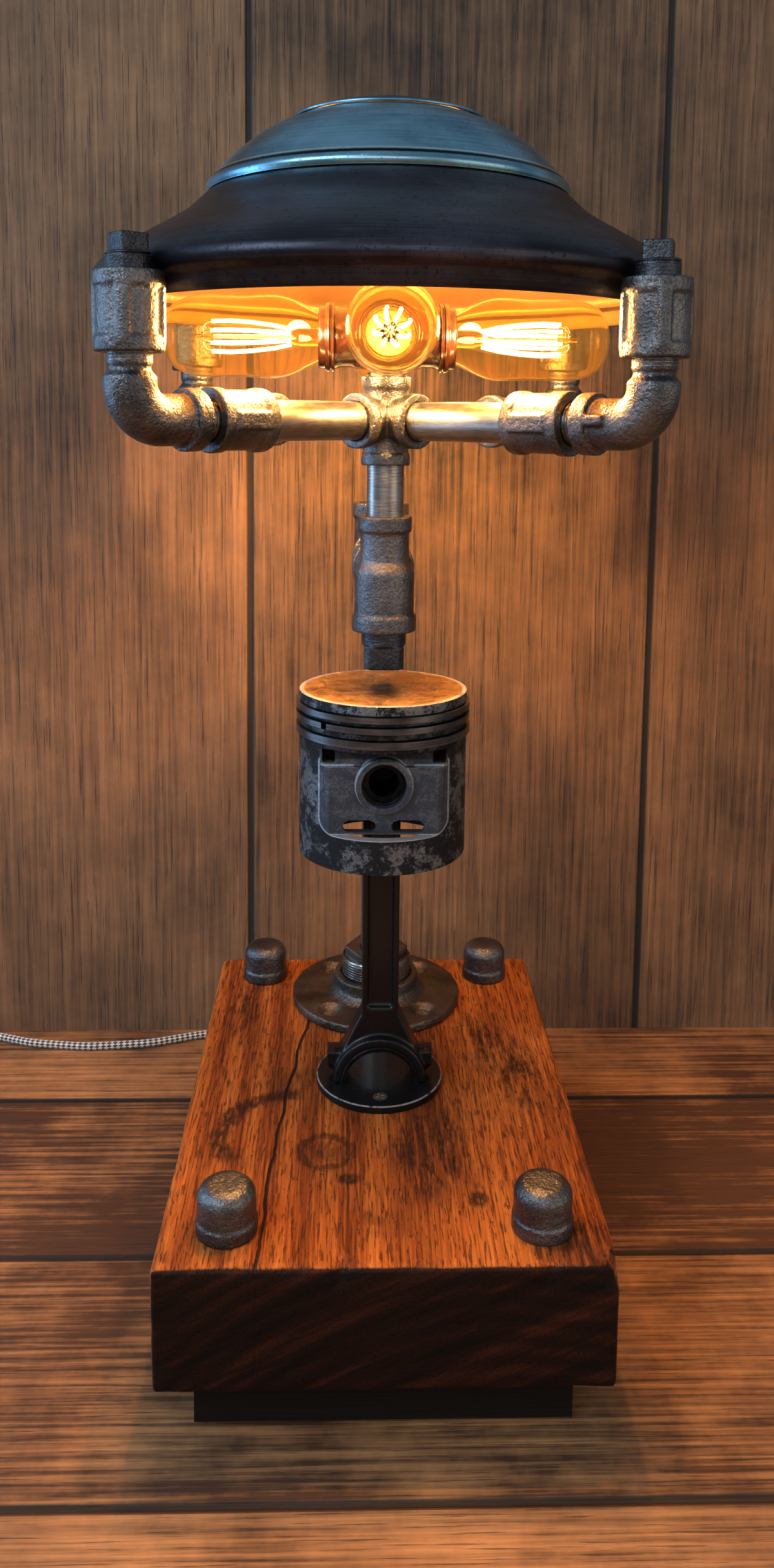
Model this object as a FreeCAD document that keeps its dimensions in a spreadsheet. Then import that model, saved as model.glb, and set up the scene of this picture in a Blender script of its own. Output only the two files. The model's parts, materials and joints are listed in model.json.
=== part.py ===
"""Industrial pipe table lamp: a wooden base, two pipe columns, a six-way cross
with four arms that carry a lift-off steel shade, a four-way lampholder with
four tubular bulbs, and a worn engine piston on its connecting rod as ornament.

Millimetres, +Z up, the lamp faces -Y. The origin is on the table, under the
middle of the base and of the front column.
"""
import FreeCAD
import Part
import Sketcher

import math
import os
import re

from FreeCAD import Placement, Rotation, Vector

doc = FreeCAD.newDocument("PipeLamp")

# Driving dimensions, in millimetres and degrees
SIZES = {
    # base
    "pad_height": (2.0, "felt pad under the plinth"),
    "pad_radius": (10.0, "felt pad"),
    "pad_inset": (16.0, "pad centre in from the plinth's edges"),
    "plinth_height": (28.0, "black recessed plinth"),
    "plinth_side_gap": (18.5, "plinth set in from the block's long sides"),
    "plinth_end_gap": (15.0, "plinth set in from the block's ends"),
    "block_width": (224.0, "hardwood block, left to right"),
    "block_length": (330.0, "hardwood block, front to back"),
    "block_height": (64.0, "hardwood block"),
    "block_edge": (2.0, "worn edge of the block"),
    "wire_hole_radius": (7.0, "wire passage through block and plinth"),
    "wire_channel_width": (16.0, "channel under the plinth"),
    "wire_channel_height": (22.0, "channel under the plinth"),
    # corner caps
    "cap_radius": (15.5, "malleable cap, lower band"),
    "cap_band_height": (7.0, "cap, lower band"),
    "cap_body_radius": (14.6, "cap above its band"),
    "cap_height": (24.9, "cap over all"),
    "cap_dome": (7.0, "rounding of the cap's top"),
    "cap_bore_depth": (15.0, "threaded hollow of the cap"),
    "cap_side_inset": (33.5, "cap centre in from the block's long sides"),
    "cap_end_inset": (29.5, "cap centre in from the block's ends"),
    "dowel_sink": (18.0, "dowel length inside the block"),
    "dowel_radius": (9.9, "wooden dowel that holds a cap"),
    "dowel_clearance": (1.0, "free height above a dowel, inside its cap"),
    # pipe and fitting sizes
    "pipe_radius": (10.67, "half inch pipe, outside"),
    "pipe_bore": (7.9, "half inch pipe, inside radius"),
    "wide_pipe_radius": (13.35, "three quarter inch pipe, outside"),
    "wide_pipe_bore": (10.4, "three quarter inch pipe, inside radius"),
    "thread_slack": (0.1, "radial slack between thread and fitting"),
    "thread_engagement": (11.0, "thread length inside a fitting"),
    "fitting_passage": (8.6, "inside radius of a half inch fitting"),
    "wide_passage": (11.0, "inside radius of a three quarter inch fitting"),
    # rear column
    "column_gap": (106.0, "rear column behind the front column"),
    "flange_radius": (57.5, "rear floor flange"),
    "flange_thickness": (6.1, "rear floor flange, rim"),
    "hub_radius": (28.6, "rear flange hub"),
    "hub_height": (19.0, "rear flange, over its hub"),
    "hub_foot_radius": (33.0, "rear flange hub where it meets the rim"),
    "flange_hole_circle": (43.5, "rear flange, screw circle radius"),
    "sink_radius": (8.6, "countersink in the rear flange, at its top"),
    "sink_height": (4.6, "countersink in the rear flange"),
    "screw_head_radius": (4.9, "rear flange screw head, deep in its countersink"),
    "screw_shank_radius": (2.6, "rear flange screw"),
    "screw_length": (32.0, "rear flange screw over all"),
    "screw_slack": (0.15, "slack round a screw"),
    "bushing_radius": (23.4, "reducing bushing, large thread"),
    "bushing_thread_top": (30.0, "bushing thread above the base"),
    "bushing_bottom": (4.0, "bushing's lower end above the base"),
    "bushing_hex_radius": (21.6, "bushing hexagon over corners"),
    "bushing_hex_height": (6.5, "bushing hexagon"),
    "bushing_collar_radius": (13.8, "bushing's wall inside its hexagon"),
    "seat_clearance": (0.5, "free length past the end of a thread"),
    "sink_clearance": (3.0, "drill depth beyond a screw's point and head"),
    # tees
    "tee_reach": (33.3, "tee centre to each end"),
    "tee_band_radius": (18.7, "band of a three quarter inch end"),
    "tee_band_height": (9.2, "band of a three quarter inch end"),
    "tee_body_radius": (17.3, "tee body, wide part"),
    "tee_neck_radius": (14.1, "tee body, half inch part"),
    "tee_collar_radius": (15.6, "band of the half inch end"),
    "tee_collar_height": (8.8, "band of the half inch end"),
    "tee_shoulder_low": (1.5, "wide body ends this far above the centre"),
    "tee_shoulder_high": (7.3, "narrow body starts this far above the centre"),
    "socket_plug_depth": (11.0, "flush plug in the rear tee"),
    "socket_hex_radius": (7.0, "hexagon socket of the flush plug, over corners"),
    "socket_hex_depth": (6.0, "hexagon socket of the flush plug"),
    # drop plug under the front tee
    "drop_gap": (12.2, "free height between the piston's crown and the drop plug"),
    "drop_thread_radius": (12.9, "drop plug thread"),
    "drop_thread_show": (8.2, "drop plug thread that shows"),
    "drop_head_width": (22.9, "drop plug head"),
    "drop_head_chamfer": (3.0, "corner of the drop plug head"),
    "drop_head_height": (13.6, "drop plug head"),
    # cross
    "stem_span": (87.2, "cross centre and arm axis above the tee's centre"),
    "cross_reach": (25.0, "cross centre to each end"),
    "cross_body_radius": (12.9, "cross body"),
    "cross_band_radius": (15.4, "band of a side end"),
    "cross_band_height": (6.4, "band of an end"),
    "cross_collar_radius": (14.0, "band of the top and bottom ends"),
    # arms, radial places are measured from the front column's axis
    "arm_angle": (45.0, "first arm, degrees from +X"),
    "coupling_length": (35.0, "arm coupling"),
    "coupling_band_radius": (16.4, "coupling band"),
    "coupling_band_height": (6.8, "coupling band"),
    "coupling_body_radius": (15.3, "coupling between its bands"),
    "close_show": (6.5, "close nipple thread that shows"),
    "post_radius": (173.0, "radial place of the post axis"),
    "elbow_reach": (38.5, "elbow's inner face from the post axis"),
    "elbow_band_radius": (15.4, "elbow band"),
    "elbow_band_height": (9.0, "elbow band"),
    "elbow_radius": (12.6, "elbow body"),
    "elbow_bend": (17.0, "elbow bend, at the pipe's middle"),
    "elbow_passage": (8.2, "inside radius of the elbow"),
    "elbow_male_passage": (7.7, "inside radius of the elbow's male end"),
    "elbow_neck_radius": (9.8, "elbow neck under its male thread"),
    "elbow_neck_low": (20.0, "elbow neck starts, above the arm axis"),
    "elbow_thread_low": (25.5, "elbow male thread starts, above the arm axis"),
    "post_low": (31.0, "post coupling's lower face above the arm axis"),
    "post_height": (37.0, "post coupling"),
    "post_plug_show": (7.0, "post plug thread that shows"),
    "post_head_width": (13.9, "post plug's square head"),
    "post_head_height": (10.0, "post plug's square head"),
    # lampholder
    "bulb_rise": (46.5, "bulb axis above the arm axis"),
    "adapter_ring_radius": (11.4, "brass adapter ring on the cross"),
    "adapter_ring_height": (2.0, "brass adapter ring"),
    "adapter_tube_radius": (5.0, "brass threaded tube"),
    "adapter_tube_bore": (3.8, "brass threaded tube"),
    "adapter_tube_height": (12.0, "brass threaded tube above its ring"),
    "lock_ring_radius": (7.4, "black lock ring"),
    "lock_ring_height": (2.4, "black lock ring"),
    "hub_column_radius": (18.6, "holder's middle"),
    "hub_top": (18.0, "holder's top above the bulb axis"),
    "hub_chamfer": (2.0, "edge of the holder's top"),
    "barrel_radius": (16.4, "holder barrel near the middle"),
    "barrel_mouth_radius": (17.5, "holder barrel's mouth"),
    "barrel_length": (38.4, "holder barrel's mouth from the axis"),
    "barrel_cone_start": (25.0, "holder barrel widens from here"),
    "barrel_cone_end": (28.5, "holder barrel is wide from here"),
    "socket_radius": (14.6, "bore of a holder barrel"),
    "socket_depth": (14.2, "bottom of a holder barrel, from the axis"),
    "liner_wall": (0.8, "brass liner of a socket"),
    "liner_length": (20.0, "brass liner of a socket"),
    "nut_radius": (19.5, "threaded shade ring on a barrel"),
    "nut_start": (29.2, "threaded shade ring, from the axis"),
    "nut_length": (5.4, "threaded shade ring"),
    # bulbs
    "cap_screw_radius": (13.4, "bulb cap"),
    "cap_shoulder": (2.2, "sloping shoulder of the bulb cap"),
    "cap_screw_start": (17.4, "bulb cap's shell, from the axis"),
    "bulb_cap_end": (36.0, "bulb cap meets the glass"),
    "tip_radius": (4.5, "bulb's tip contact"),
    "tip_start": (15.3, "bulb's tip contact, from the axis"),
    "glass_wall": (0.9, "bulb glass"),
    "glass_a_radius": (0.0, "bulb glass outside, place a"),
    "glass_a_height": (126.0, "the same, along the bulb from the lamp's axis"),
    "glass_b_radius": (9.0, "bulb glass outside, place b"),
    "glass_b_height": (124.6, "the same, along the bulb from the lamp's axis"),
    "glass_c_radius": (17.5, "bulb glass outside, place c"),
    "glass_c_height": (119.5, "the same, along the bulb from the lamp's axis"),
    "glass_d_radius": (22.6, "bulb glass outside, place d"),
    "glass_d_height": (106.0, "the same, along the bulb from the lamp's axis"),
    "glass_e_radius": (22.6, "bulb glass outside, place e"),
    "glass_e_height": (82.0, "the same, along the bulb from the lamp's axis"),
    "glass_f_radius": (22.6, "bulb glass outside, place f"),
    "glass_f_height": (58.0, "the same, along the bulb from the lamp's axis"),
    "glass_g_radius": (13.0, "bulb glass outside, place g"),
    "glass_g_height": (36.0, "the same, along the bulb from the lamp's axis"),
    "stem_radius": (5.0, "glass stem inside a bulb"),
    "stem_end": (62.0, "end of the glass stem"),
    "support_radius": (1.2, "filament support"),
    "support_end": (108.0, "end of the filament support"),
    # shade
    "shade_wall": (1.2, "steel of the shade"),
    "shade_cap_a_radius": (0.0, "top cap's outside, place a"),
    "shade_cap_a_height": (174.0, "the same, above the arm axis"),
    "shade_cap_b_radius": (18.0, "top cap's outside, place b"),
    "shade_cap_b_height": (172.9, "the same, above the arm axis"),
    "shade_cap_c_radius": (34.0, "top cap's outside, place c"),
    "shade_cap_c_height": (170.0, "the same, above the arm axis"),
    "shade_cap_d_radius": (52.0, "top cap's outside, place d"),
    "shade_cap_d_height": (164.5, "the same, above the arm axis"),
    "shade_dome_a_radius": (44.0, "dome's outside, place a"),
    "shade_dome_a_height": (165.2, "the same, above the arm axis"),
    "shade_dome_b_radius": (55.0, "dome's outside, place b"),
    "shade_dome_b_height": (161.2, "the same, above the arm axis"),
    "shade_dome_c_radius": (70.0, "dome's outside, place c"),
    "shade_dome_c_height": (154.0, "the same, above the arm axis"),
    "shade_dome_d_radius": (85.0, "dome's outside, place d"),
    "shade_dome_d_height": (142.5, "the same, above the arm axis"),
    "shade_dome_e_radius": (95.0, "dome's outside, place e"),
    "shade_dome_e_height": (132.5, "the same, above the arm axis"),
    "shade_dome_f_radius": (100.4, "dome's outside, place f"),
    "shade_dome_f_height": (126.0, "the same, above the arm axis"),
    "shade_dome_g_radius": (99.8, "dome's outside, place g"),
    "shade_dome_g_height": (122.2, "the same, above the arm axis"),
    "shade_skirt_a_share": (-0.1202, "skirt, place a, from the dome's rim to the posts"),
    "shade_skirt_a_height": (125.5, "the same, above the arm axis"),
    "shade_skirt_b_share": (0.0164, "skirt, place b, from the dome's rim to the posts"),
    "shade_skirt_b_height": (120.5, "the same, above the arm axis"),
    "shade_skirt_c_share": (0.153, "skirt, place c, from the dome's rim to the posts"),
    "shade_skirt_c_height": (111.5, "the same, above the arm axis"),
    "shade_skirt_d_share": (0.3443, "skirt, place d, from the dome's rim to the posts"),
    "shade_skirt_d_height": (102.5, "the same, above the arm axis"),
    "shade_skirt_e_share": (0.5355, "skirt, place e, from the dome's rim to the posts"),
    "shade_skirt_e_height": (94.5, "the same, above the arm axis"),
    "shade_skirt_f_share": (0.6858, "skirt, place f, from the dome's rim to the posts"),
    "shade_skirt_f_height": (88.0, "the same, above the arm axis"),
    "shade_skirt_g_inset": (15.0, "skirt, place g, in from the posts' axes"),
    "shade_skirt_g_height": (81.5, "the same, above the arm axis"),
    "shade_skirt_h_inset": (11.4, "skirt, place h, in from the posts' axes"),
    "shade_skirt_h_height": (76.0, "the same, above the arm axis"),
    "shade_skirt_i_inset": (12.7, "skirt, place i, in from the posts' axes"),
    "shade_skirt_i_height": (71.0, "the same, above the arm axis"),
    "shade_skirt_j_inset": (16.6, "skirt, place j, in from the posts' axes"),
    "shade_skirt_j_height": (68.3, "the same, above the arm axis"),
    "shade_skirt_k_inset": (18.5, "skirt, place k, in from the posts' axes"),
    "shade_skirt_k_height": (64.0, "the same, above the arm axis"),
    "shade_skirt_l_inset": (21.0, "skirt, place l, in from the posts' axes"),
    "shade_skirt_l_height": (59.5, "the same, above the arm axis"),
    # piston
    "piston_radius": (48.9, "piston"),
    "piston_rise": (47.5, "piston crown above the pin's axis"),
    "piston_fall": (48.5, "piston skirt's end below the pin's axis"),
    "crown_thickness": (8.0, "piston crown"),
    "piston_bore": (42.5, "inside of the piston skirt"),
    "pin_height": (196.0, "gudgeon pin's axis above the base"),
    "panel_half_width": (36.0, "flat panel round the pin boss"),
    "panel_plane": (38.0, "panel's distance from the piston's axis"),
    "panel_rise": (10.5, "panel's upper edge above the pin's axis"),
    "panel_fall": (28.5, "panel's lower edge below the pin's axis"),
    "recess_plane": (35.5, "upper recess's distance from the axis"),
    "recess_rise": (20.5, "upper recess's upper edge above the pin's axis"),
    "inner_flat": (31.5, "inside flat behind the panel"),
    "boss_radius": (16.0, "pin boss"),
    "boss_face": (41.0, "pin boss face from the axis"),
    "boss_inner": (11.6, "pin boss's inner face from the axis"),
    "dimple_radius": (5.5, "dimple in the crown"),
    "dimple_depth": (1.6, "dimple in the crown"),
    "ring_groove_radius": (44.0, "floor of a ring groove"),
    "ring_inner_radius": (44.5, "piston ring, inside"),
    "ring_radius": (50.7, "piston ring, outside"),
    "ring_slack": (0.35, "gap above and below a piston ring"),
    "ring_split": (4.0, "gap in a piston ring"),
    "top_ring_height": (3.4, "top ring"),
    "top_ring_depth": (9.5, "top ring's lower face below the crown"),
    "second_ring_height": (3.4, "second ring"),
    "second_ring_depth": (15.5, "second ring's lower face below the crown"),
    "oil_ring_height": (4.4, "oil ring"),
    "oil_ring_depth": (24.1, "oil ring's lower face below the crown"),
    "window_width": (7.0, "window at the recess's end"),
    "window_place": (31.0, "window's middle from the piston's axis"),
    "window_low": (12.5, "window's lower edge above the pin's axis"),
    "window_high": (20.0, "window's upper edge above the pin's axis"),
    "slot_width": (18.5, "slot low on the panel"),
    "slot_place": (13.6, "slot's middle from the piston's axis"),
    "slot_low": (27.2, "slot's lower edge below the pin's axis"),
    "slot_high": (20.4, "slot's upper edge below the pin's axis"),
    "pin_radius": (12.4, "gudgeon pin"),
    "pin_bore": (8.5, "gudgeon pin's bore"),
    "pin_half_length": (32.0, "half the gudgeon pin's length"),
    "pin_slack": (0.1, "running fit of the gudgeon pin"),
    "clip_wire": (1.2, "circlip wire radius"),
    # connecting rod and its foot
    "foot_radius": (38.0, "foot flange"),
    "foot_thickness": (4.6, "foot flange"),
    "foot_screw_place": (27.0, "foot screws from the rod's axis"),
    "foot_screw_head": (4.6, "foot screw head radius"),
    "foot_screw_head_height": (2.8, "foot screw head"),
    "foot_screw_shank": (1.9, "foot screw"),
    "foot_screw_length": (24.0, "foot screw over all"),
    "arch_radius": (27.5, "big end arch, outside"),
    "arch_bore": (21.5, "big end arch, inside"),
    "arch_half_depth": (13.0, "half the big end's depth"),
    "ear_reach": (31.5, "bolt ears from the rod's axis"),
    "ear_half_depth": (6.5, "half a bolt ear's depth"),
    "ear_low": (7.0, "bolt ear above the foot flange"),
    "ear_height": (9.0, "bolt ear"),
    "shank_half_width": (10.9, "half the rod shank's width"),
    "shank_half_depth": (8.0, "half the rod shank's depth"),
    "flute_depth": (2.6, "flute of the rod's I section"),
    "flute_edge": (3.6, "edge beside the flute"),
    "flare_height": (46.0, "the shank widens below this, above the base"),
    "flare_low": (20.0, "lower end of the shank's widening"),
    "flare_half_width": (23.6, "half the shank's width where it meets the arch"),
    "small_end_radius": (19.0, "rod's small end"),
    "small_end_half_depth": (11.0, "half the small end's depth"),
    # cord
    "cord_radius": (3.0, "braided cord"),
    "gland_radius": (7.5, "cord gland outside the plinth"),
    "gland_length": (8.0, "cord gland outside the plinth"),
    "gland_neck": (6.0, "cord gland inside the plinth"),
    "gland_sink": (12.0, "cord gland inside the plinth"),
    "wire_radius": (2.4, "lead wire inside the pipes"),
    "wire_bend": (12.0, "bend of the lead wire"),
    "coil_radius": (33.0, "middle of the cord coil's turns"),
    "coil_turns": (3.0, "turns in each of the coil's two layers"),
    "coil_pitch": (6.8, "coil, turn to turn and layer to layer"),
    "coil_tuck": (1.6, "the climbing half turn leans in by this"),
    "coil_end_length": (7.0, "straight ends of the coil"),
    "tail_reach": (14.0, "tail leaves the coil straight for this length"),
    "plug_length": (36.0, "plug body"),
    "plug_width": (26.0, "plug body"),
    "plug_thickness": (14.0, "plug body"),
    "plug_pin_radius": (2.0, "plug pin"),
    "plug_pin_length": (19.0, "plug pin"),
    "plug_pin_gap": (19.0, "plug pins, middle to middle"),
}

sheet = doc.addObject("Spreadsheet::Sheet", "Sizes")
for row, (alias, (value, note)) in enumerate(SIZES.items(), start=1):
    sheet.set(f"A{row}", alias)
    sheet.set(f"B{row}", str(value))
    sheet.set(f"C{row}", note)
    sheet.setAlias(f"B{row}", alias)
doc.recompute()


def size(alias):
    """A driving dimension as a number, read from the sheet."""
    return float(sheet.get(alias))


def total(*aliases):
    """The sum of several driving dimensions."""
    return sum(size(alias) for alias in aliases)


def formula(text):
    """The expression for a formula written in bare aliases."""
    return re.sub(r"[a-z]+(?:_[a-z]+)+", lambda found: "Sizes." + found.group(), str(text))


# Heights and lengths that several pieces share, as formulas of the driving sizes
BASE_TOP = "(pad_height + plinth_height + block_height)"
PLINTH_WIDTH = "(block_width - 2 * plinth_side_gap)"
PLINTH_LENGTH = "(block_length - 2 * plinth_end_gap)"
PIN_Z = f"({BASE_TOP} + pin_height)"
DROP_LENGTH = "(drop_head_height + drop_thread_show)"
TEE_HEIGHT = f"(pin_height + piston_rise + drop_gap + {DROP_LENGTH} + tee_reach)"
TEE_Z = f"({BASE_TOP} + {TEE_HEIGHT})"
ARM_Z = f"({TEE_Z} + stem_span)"
BULB_Z = f"({ARM_Z} + bulb_rise)"
ELBOW_START = "(post_radius - elbow_reach)"
COUPLING_END = f"({ELBOW_START} - close_show)"
COUPLING_START = f"({COUPLING_END} - coupling_length)"
POST_TOP = "(post_low + post_height)"
THREAD_BORE = "(pipe_radius + thread_slack)"
WIDE_BORE = "(wide_pipe_radius + thread_slack)"


def place(item, x=0, y=0, z=0, turn=None):
    """Bind a piece's place, and its turn about Z, to the sheet."""
    for axis, text in zip("xyz", (x, y, z)):
        item.setExpression(f"Placement.Base.{axis}", formula(text))
    if turn is not None:
        item.Placement.Rotation = Rotation(Vector(0, 0, 1), 1)
        item.setExpression("Placement.Rotation.Angle", formula(turn))
    return item


def role_plane(body, role):
    """One of a body's origin planes."""
    return next(item for item in body.Origin.OriginFeatures if item.Role == role)


def outline(body, name, points, plane):
    """A closed sketch through points whose coordinates are formulas.

    A coordinate of 0 puts its point on the sketch's axis.
    """
    sketch = body.newObject("Sketcher::SketchObject", name)
    sketch.AttachmentSupport = [(role_plane(body, plane), "")]
    sketch.MapMode = "FlatFace"
    rough = [(10.0 + index, 10.0 + index * index) for index in range(len(points))]
    for index, start in enumerate(rough):
        end = rough[(index + 1) % len(rough)]
        sketch.addGeometry(Part.LineSegment(Vector(*start, 0), Vector(*end, 0)), False)
    for index in range(len(points)):
        after = (index + 1) % len(points)
        sketch.addConstraint(Sketcher.Constraint("Coincident", index, 2, after, 1))
    for index, point in enumerate(points):
        for kind, axis, text in (("DistanceX", -2, point[0]), ("DistanceY", -1, point[1])):
            if text == 0:
                sketch.addConstraint(Sketcher.Constraint("PointOnObject", index, 1, axis))
                continue
            at = sketch.addConstraint(Sketcher.Constraint(kind, -1, 1, index, 1, 5.0))
            sketch.setExpression(f"Constraints[{at}]", formula(text))
    return sketch


def padded(label, points, height, plane="XY_Plane", lift=0):
    """A straight-sided body: an outline padded along its plane's normal."""
    body = doc.addObject("PartDesign::Body", label)
    sketch = outline(body, label + "_outline", points, plane)
    if lift != 0:
        sketch.setExpression("AttachmentOffset.Base.z", formula(lift))
    pad = body.newObject("PartDesign::Pad", label + "_pad")
    pad.Profile = sketch
    pad.setExpression("Length", formula(height))
    return body


def drill(body, name, centres, radius, depth, top):
    """Round holes, drilled down from a height of the body."""
    sketch = body.newObject("Sketcher::SketchObject", name + "_centres")
    sketch.AttachmentSupport = [(role_plane(body, "XY_Plane"), "")]
    sketch.MapMode = "FlatFace"
    sketch.setExpression("AttachmentOffset.Base.z", formula(top))
    for index, centre in enumerate(centres):
        circle = Part.Circle(Vector(7.0 * index, 5.0, 0), Vector(0, 0, 1), 1.0)
        sketch.addGeometry(circle, False)
        at = sketch.addConstraint(Sketcher.Constraint("Radius", index, 1.0))
        sketch.setExpression(f"Constraints[{at}]", formula(radius))
        for kind, axis, text in (("DistanceX", -2, centre[0]), ("DistanceY", -1, centre[1])):
            if text == 0:
                sketch.addConstraint(Sketcher.Constraint("PointOnObject", index, 3, axis))
                continue
            at = sketch.addConstraint(Sketcher.Constraint(kind, -1, 1, index, 3, 5.0))
            sketch.setExpression(f"Constraints[{at}]", formula(text))
    pocket = body.newObject("PartDesign::Pocket", name)
    pocket.Profile = sketch
    pocket.setExpression("Length", formula(depth))
    return pocket


def rectangle(width, length):
    """Corner points of a rectangle round the origin."""
    return [(f"{sx} * {width} / 2", f"{sy} * {length} / 2")
            for sx, sy in ((-1, -1), (1, -1), (1, 1), (-1, 1))]


def turned(label, *profiles, cuts=()):
    """A turned body. Each profile is an axis and its points.

    Points about Z are (radius, height); about X or Y they are (along, radius).
    """
    body = doc.addObject("PartDesign::Body", label)
    jobs = [(axis, points, "Revolution") for axis, points in profiles]
    jobs += [(axis, points, "Groove") for axis, points in cuts]
    for number, (axis, points, kind) in enumerate(jobs):
        plane = "YZ_Plane" if axis == "Y" else "XZ_Plane"
        sketch = outline(body, f"{label}_profile_{number}", points, plane)
        feature = body.newObject("PartDesign::" + kind, f"{label}_turn_{number}")
        feature.Profile = sketch
        feature.ReferenceAxis = (sketch, ["V_Axis" if axis == "Z" else "H_Axis"])
        feature.Angle = 360
    return body


def tube_profile(start, end, inside, outside):
    """Points of a plain tube's wall, along its axis."""
    return [(start, inside), (start, outside), (end, outside), (end, inside)]


def swapped(points):
    """(along, radius) points as (radius, height) points."""
    return [(radius, along) for along, radius in points]


def banded_profile(start, end, inside, band, band_height, body_radius):
    """A coupling's wall: a bore, a band at each end and a thinner middle."""
    return [(start, inside), (start, band), (f"{start} + {band_height}", band),
            (f"{start} + {band_height}", body_radius), (f"{end} - {band_height}", body_radius),
            (f"{end} - {band_height}", band), (end, band), (end, inside)]


def cylinder(name, radius, height, x=0, y=0, z=0, along="Z"):
    """A plain cylinder that starts at a place and runs along an axis."""
    item = doc.addObject("Part::Cylinder", name)
    item.setExpression("Radius", formula(radius))
    item.setExpression("Height", formula(height))
    place(item, x, y, z)
    if along == "X":
        item.Placement.Rotation = Rotation(Vector(0, 1, 0), 90)
    elif along == "Y":
        item.Placement.Rotation = Rotation(Vector(1, 0, 0), -90)
    return item


def block(name, width, length, height, x, y, z):
    """A box whose lowest corner is at a place."""
    item = doc.addObject("Part::Box", name)
    for field, text in (("Length", width), ("Width", length), ("Height", height)):
        item.setExpression(field, formula(text))
    return place(item, x, y, z)


def fused(label, pieces):
    item = doc.addObject("Part::MultiFuse", label)
    item.Shapes = pieces
    item.Refine = True
    return item


def less(label, base, *tools):
    """A piece with tools cut out of it."""
    item = doc.addObject("Part::Cut", label)
    item.Base = base
    item.Tool = tools[0] if len(tools) == 1 else fused(label + "_tools", list(tools))
    item.Refine = True
    return item


def common(label, first, second):
    item = doc.addObject("Part::Common", label)
    item.Base = first
    item.Tool = second
    return item


def group(label, pieces):
    """Several like solids under one name."""
    item = doc.addObject("Part::Compound", label)
    item.Links = pieces
    return item


def rounded(body, feature_name, chosen, radius):
    """Round the edges of a body's last feature that a test picks."""
    doc.recompute()
    last = body.Tip
    names = [f"Edge{number}" for number, edge in enumerate(last.Shape.Edges, start=1)
             if chosen(edge)]
    fillet = body.newObject("PartDesign::Fillet", feature_name)
    fillet.Base = (last, names)
    fillet.setExpression("Radius", formula(radius))
    return fillet


nodes = []


def keep(item, label=None):
    """Count a finished piece among the exported ones."""
    item.Label = label or item.Name
    nodes.append(item)
    return item


def plain_feature(label, shape, x=0, y=0, z=0):
    """A piece whose shape is worked out from the sheet in this file."""
    item = doc.addObject("Part::Feature", label)
    item.Shape = shape
    item.Placement = Placement(Vector(x, y, z), Rotation())
    return item


# Base: block, plinth, pads, corner caps on dowels
HOLE_STEP = "flange_hole_circle * cos(45 deg)"
FLANGE_HOLES = [(f"{sx} * {HOLE_STEP}", f"column_gap + {sy} * {HOLE_STEP}")
                for sx in (-1, 1) for sy in (-1, 1)]
FOOT_HOLES = [(0, f"{side} * foot_screw_place") for side in (-1, 1)]
CAP_PLACES = [(f"{sx} * (block_width / 2 - cap_side_inset)",
               f"{sy} * (block_length / 2 - cap_end_inset)")
              for sx in (-1, 1) for sy in (-1, 1)]

base_block = padded("base_block", rectangle("block_width", "block_length"), "block_height")
drill(base_block, "wire_hole", [(0, "column_gap")], "wire_hole_radius", "block_height",
      "block_height")
drill(base_block, "dowel_holes", CAP_PLACES, "dowel_radius + screw_slack", "dowel_sink",
      "block_height")
drill(base_block, "flange_pilots", FLANGE_HOLES, "screw_shank_radius + screw_slack",
      "screw_length - flange_thickness + 2 * screw_slack", "block_height")
drill(base_block, "foot_pilots", FOOT_HOLES, "foot_screw_shank + screw_slack",
      "foot_screw_length - foot_thickness + 2 * screw_slack", "block_height")
half_width = size("block_width") / 2
half_length = size("block_length") / 2


def outer_edge(edge):
    """An edge of the block that lies on its outside."""
    box = edge.BoundBox
    centre = box.Center
    return (abs(abs(centre.x) - half_width) < 0.01 or abs(abs(centre.y) - half_length) < 0.01)


rounded(base_block, "worn_edges", outer_edge, "block_edge")
keep(place(base_block, z="pad_height + plinth_height"))

plinth = padded("plinth_blank", rectangle(PLINTH_WIDTH, PLINTH_LENGTH), "plinth_height")
drill(plinth, "plinth_wire_hole", [(0, "column_gap")], "wire_hole_radius", "plinth_height",
      "plinth_height")
place(plinth, z="pad_height")
CHANNEL_FRONT = "(column_gap - wire_channel_width / 2)"
CHANNEL_BACK = f"({PLINTH_LENGTH} / 2 - gland_sink)"
channel = block("wire_channel", "wire_channel_width", f"{CHANNEL_BACK} - {CHANNEL_FRONT}",
                "wire_channel_height", "-wire_channel_width / 2", CHANNEL_FRONT, "pad_height")
GLAND_Z = "(pad_height + plinth_height / 2)"
gland_hole = cylinder("gland_hole", "gland_neck + screw_slack", "2 * gland_sink",
                      0, f"{CHANNEL_BACK} - gland_sink", GLAND_Z, along="Y")
keep(less("base_plinth_cut", plinth, channel, gland_hole), "base_plinth")

pads = [cylinder(f"pad_{number}", "pad_radius", "pad_height",
                 f"{sx} * ({PLINTH_WIDTH} / 2 - pad_inset)",
                 f"{sy} * ({PLINTH_LENGTH} / 2 - pad_inset)", 0)
        for number, (sx, sy) in enumerate([(-1, -1), (1, -1), (-1, 1), (1, 1)])]
keep(group("foot_pads", pads))

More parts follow.
